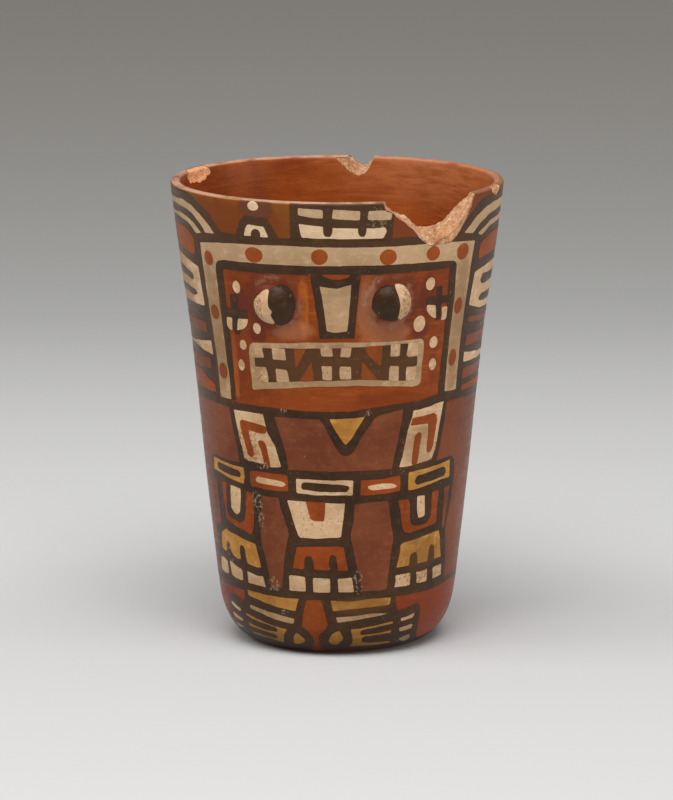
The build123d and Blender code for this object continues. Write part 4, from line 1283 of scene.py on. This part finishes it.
def side_ornament():
    """Nested arches, a lens, a comb and feather bands between the two figures, mirrored about each side."""
    left, right = -90, 90
    black = (
        across([
            (-90, 94), (-58, 94), (-58.4, 120), (-58.8, 151.4), (-44, 155.6), (-46, 157.5), (-48, 159.8), (-50, 162),
            (-55, 164.8), (-60, 167.3), (-65, 168.1), (-75, 167.8), (-90, 166.5),
        ], left),
        across([
            (90, 94), (58.6, 94), (58.6, 110), (59.2, 152.2), (45, 155), (47, 157), (50, 159), (55, 163), (57, 165),
            (60, 166.2), (68, 167.3), (90, 166.5),
        ], right),
    )
    arches = (
        across([
            (-90, 163.8), (-75, 164.4), (-67, 164.9), (-60, 163.6), (-55, 160.8), (-50, 157.4), (-47.9, 154.9),
            (-52.8, 154.5), (-55, 157), (-60, 160.5), (-65, 161.9), (-75, 162.3), (-90, 161.9),
        ], left),
        across([
            (-90, 159.2), (-80, 159.2), (-70, 159.6), (-65, 159), (-60, 157.3), (-55.5, 154.2), (-59, 153.6),
            (-63, 156.3), (-66, 157.2), (-75, 158.1), (-90, 157.8),
        ], left),
        across([
            (90, 163.5), (70, 163.7), (63, 162.7), (57, 160.2), (52, 156.3), (50.3, 154.8), (55.2, 154), (60, 157.3),
            (66, 159.6), (75, 160.4), (90, 160.6),
        ], right),
        across([
            (90, 157.9), (75, 157.6), (68, 157), (61, 154.5), (59, 153.6), (61.7, 152.6), (68, 155), (75, 155.5),
            (90, 155.6),
        ], right),
    )
    combs = (
        across([
            (-90, 144.2), (-80, 144.2), (-70, 142.9), (-60.4, 141.3), (-60.1, 137), (-59.7, 132), (-59.3, 127.2),
            (-61, 126.8), (-75, 127), (-90, 126.2),
        ], left),
        across([
            (90, 141.2), (75, 141.1), (65, 140), (60.3, 139.3), (60, 136), (59.5, 133), (59, 127.3), (62, 126.5),
            (70, 124.8), (90, 123.8),
        ], right),
        across([(-90, 112.2), (-75, 112.2), (-65, 113.4), (-58, 114.4), (-57.3, 109.1), (-65, 109.9), (-75, 111.3), (-90, 111.3)], left),
        across([(90, 107.9), (75, 108.2), (59.7, 109.9), (60, 106.1), (75, 105.8), (90, 105.9)], right),
    )
    slots = (
        across([(-90, 139.5), (-75, 139.3), (-66.5, 138), (-65.3, 137), (-66.5, 135.4), (-75, 136.3), (-90, 136.3)], left),
        across([(-90, 132.8), (-75, 132.8), (-66, 132.2), (-63.8, 130.8), (-67, 129.7), (-75, 130.2), (-90, 130)], left),
        across([(90, 137.3), (75, 137.3), (68, 137.6), (65.8, 135.6), (68, 133.8), (90, 133.8)], right),
        across([(90, 130), (75, 130), (69, 130.3), (66.8, 128.8), (68, 127.6), (75, 127), (90, 127)], right),
    )
    lenses = (
        across([
            (-90, 154), (-70, 154.9), (-66, 154.2), (-63, 152.8), (-61.5, 151.5), (-61.3, 147), (-62, 146),
            (-64, 145.2), (-68, 146), (-77, 146.8), (-90, 147),
        ], left),
        across([
            (90, 152.5), (75, 152.4), (68, 151.6), (62, 149.6), (61.4, 146), (62.5, 143.6), (68, 144.4), (78, 145),
            (90, 145),
        ], right),
        across([(-90, 102.4), (-70, 102.4), (-65, 100.3), (-60, 99), (-58, 98.2), (-58, 95.4), (-90, 95.2)], left),
        across([(90, 98), (70, 98.2), (60, 97.8), (60, 95.6), (90, 95.2)], right),
    )
    bands = (
        across([(-90, 121), (-60, 121), (-60, 117), (-90, 117)], left),
        across([(-90, 107.5), (-60, 107.5), (-60, 103.5), (-90, 103.8)], left),
        across([(90, 122), (75, 121.6), (60, 123), (60, 121), (75, 119.5), (90, 119.7)], right),
        across([(90, 116), (60, 116), (60, 112), (90, 112)], right),
        across([(90, 104), (60, 104), (60, 100), (90, 100)], right),
    )
    paint("side_lines_black", "black", on(MARK, *slots), both=False)
    paint("side_arches_black", "black", on(GROUND, *black), both=False)
    paint("side_arches_grey", "grey", on(CELL, *arches), both=False)
    paint("side_combs_cream", "cream", on(CELL, *combs), both=False)
    paint("side_lenses_orange", "red", on(CELL, *lenses), both=False)
    paint("side_bands_maroon", "maroon", on(CELL, *bands), both=False)


def dress_pellets():
    """The clay pellets keep their own shape under the coat."""
    for node in ("front_left_eye", "front_right_eye", "back_left_eye", "back_right_eye"):
        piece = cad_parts[node]
        piece.data.materials.clear()
        piece.data.materials.append(CLAY)


def floor():
    """A pale paper sweep whose colour grows darker away from the camera: painted shade where the light falls off."""
    bpy.ops.object.select_all(action="DESELECT")
    bpy.ops.mesh.primitive_plane_add(size=12, location=(0, 2.5, 0))
    paper = bpy.context.object
    paper.name = "paper_floor"
    bpy.ops.object.transform_apply(location=True, rotation=False, scale=False)
    finish, tree, shader, place = new_finish("pale_matt_paper")
    away = add(tree, "ShaderNodeSeparateXYZ", {"Vector": place}).outputs["Y"]
    far = add(tree, "ShaderNodeMapRange", {"Value": away, "From Min": 0.0, "From Max": 2.0}).outputs["Result"]
    colour = add(tree, "ShaderNodeValToRGB", {"Fac": far})
    ramp = colour.color_ramp
    ramp.interpolation = "B_SPLINE"
    ramp.elements[0].position, ramp.elements[0].color = 0.0, linear("#D4D4D4")
    ramp.elements[1].position, ramp.elements[1].color = 1.0, linear("#D2CFC9")
    painted_falloff_tones = ((0.06, "#E4E4E4"), (0.19, "#E2E2E1"), (0.27, "#DADAD9"), (0.34, "#CDCDCC"), (0.5, "#CBCBC8"), (0.7, "#D0CDC9"))
    for at, tone in painted_falloff_tones:
        ramp.elements.new(at).color = linear(tone)
    tree.links.new(colour.outputs["Color"], shader.inputs["Base Color"])
    shader.inputs["Roughness"].default_value = 0.9
    shader.inputs["Specular IOR Level"].default_value = 0.1
    paper.data.materials.append(finish)


def soft_light(name, place, width, height, power, target=(0, 0, 0.085)):
    lamp = bpy.data.lights.new(name, "AREA")
    lamp.shape = "RECTANGLE"
    lamp.size = width
    lamp.size_y = height
    lamp.energy = power
    holder = bpy.data.objects.new(name, lamp)
    holder.location = place
    holder.rotation_euler = (Vector(target) - Vector(place)).to_track_quat("-Z", "Y").to_euler()
    bpy.context.scene.collection.objects.link(holder)


def lights():
    soft_light("top_front_softbox", (0.0, -0.65, 1.2), 1.1, 0.8, 15)
    soft_light("left_softbox", (-1.1, -0.3, 0.95), 0.7, 0.7, 4.5)
    soft_light("right_softbox", (1.25, -0.35, 0.28), 0.8, 0.5, 4)
    world = bpy.data.worlds.new("studio")
    world.use_nodes = True
    world.node_tree.nodes["Background"].inputs["Color"].default_value = linear("#C4C2BF")
    world.node_tree.nodes["Background"].inputs["Strength"].default_value = 0.45
    bpy.context.scene.world = world


def camera():
    """The photograph's view: 217 mm lens, 1.76 m away, looking 11 degrees down."""
    away, tilt = 1.7635, math.radians(11.109)
    lens = bpy.data.cameras.new("camera")
    lens.sensor_width = 36
    lens.lens = 4832.8 * 36 / 800
    lens.shift_x = -(337.07 - 336.5) / 800
    lens.shift_y = (407.09 - 400) / 800
    holder = bpy.data.objects.new("camera", lens)
    middle = HEIGHT * MM / 2
    holder.location = (0, -away * math.cos(tilt), middle + away * math.sin(tilt))
    holder.rotation_euler = (math.pi / 2 - tilt, 0, 0)
    bpy.context.scene.collection.objects.link(holder)
    bpy.context.scene.camera = holder


outer_coat()
inner_coat()
clay_wall()
clay_base()
headdress()
face_frame()
nose()
painted_eyes()
cheeks()
mouth()
tunic()
belt()
limbs()
cuffs_and_hands()
panel()
feet()
side_ornament()
dress_pellets()
floor()
lights()
camera()
bpy.context.scene.view_settings.view_transform = "Standard"
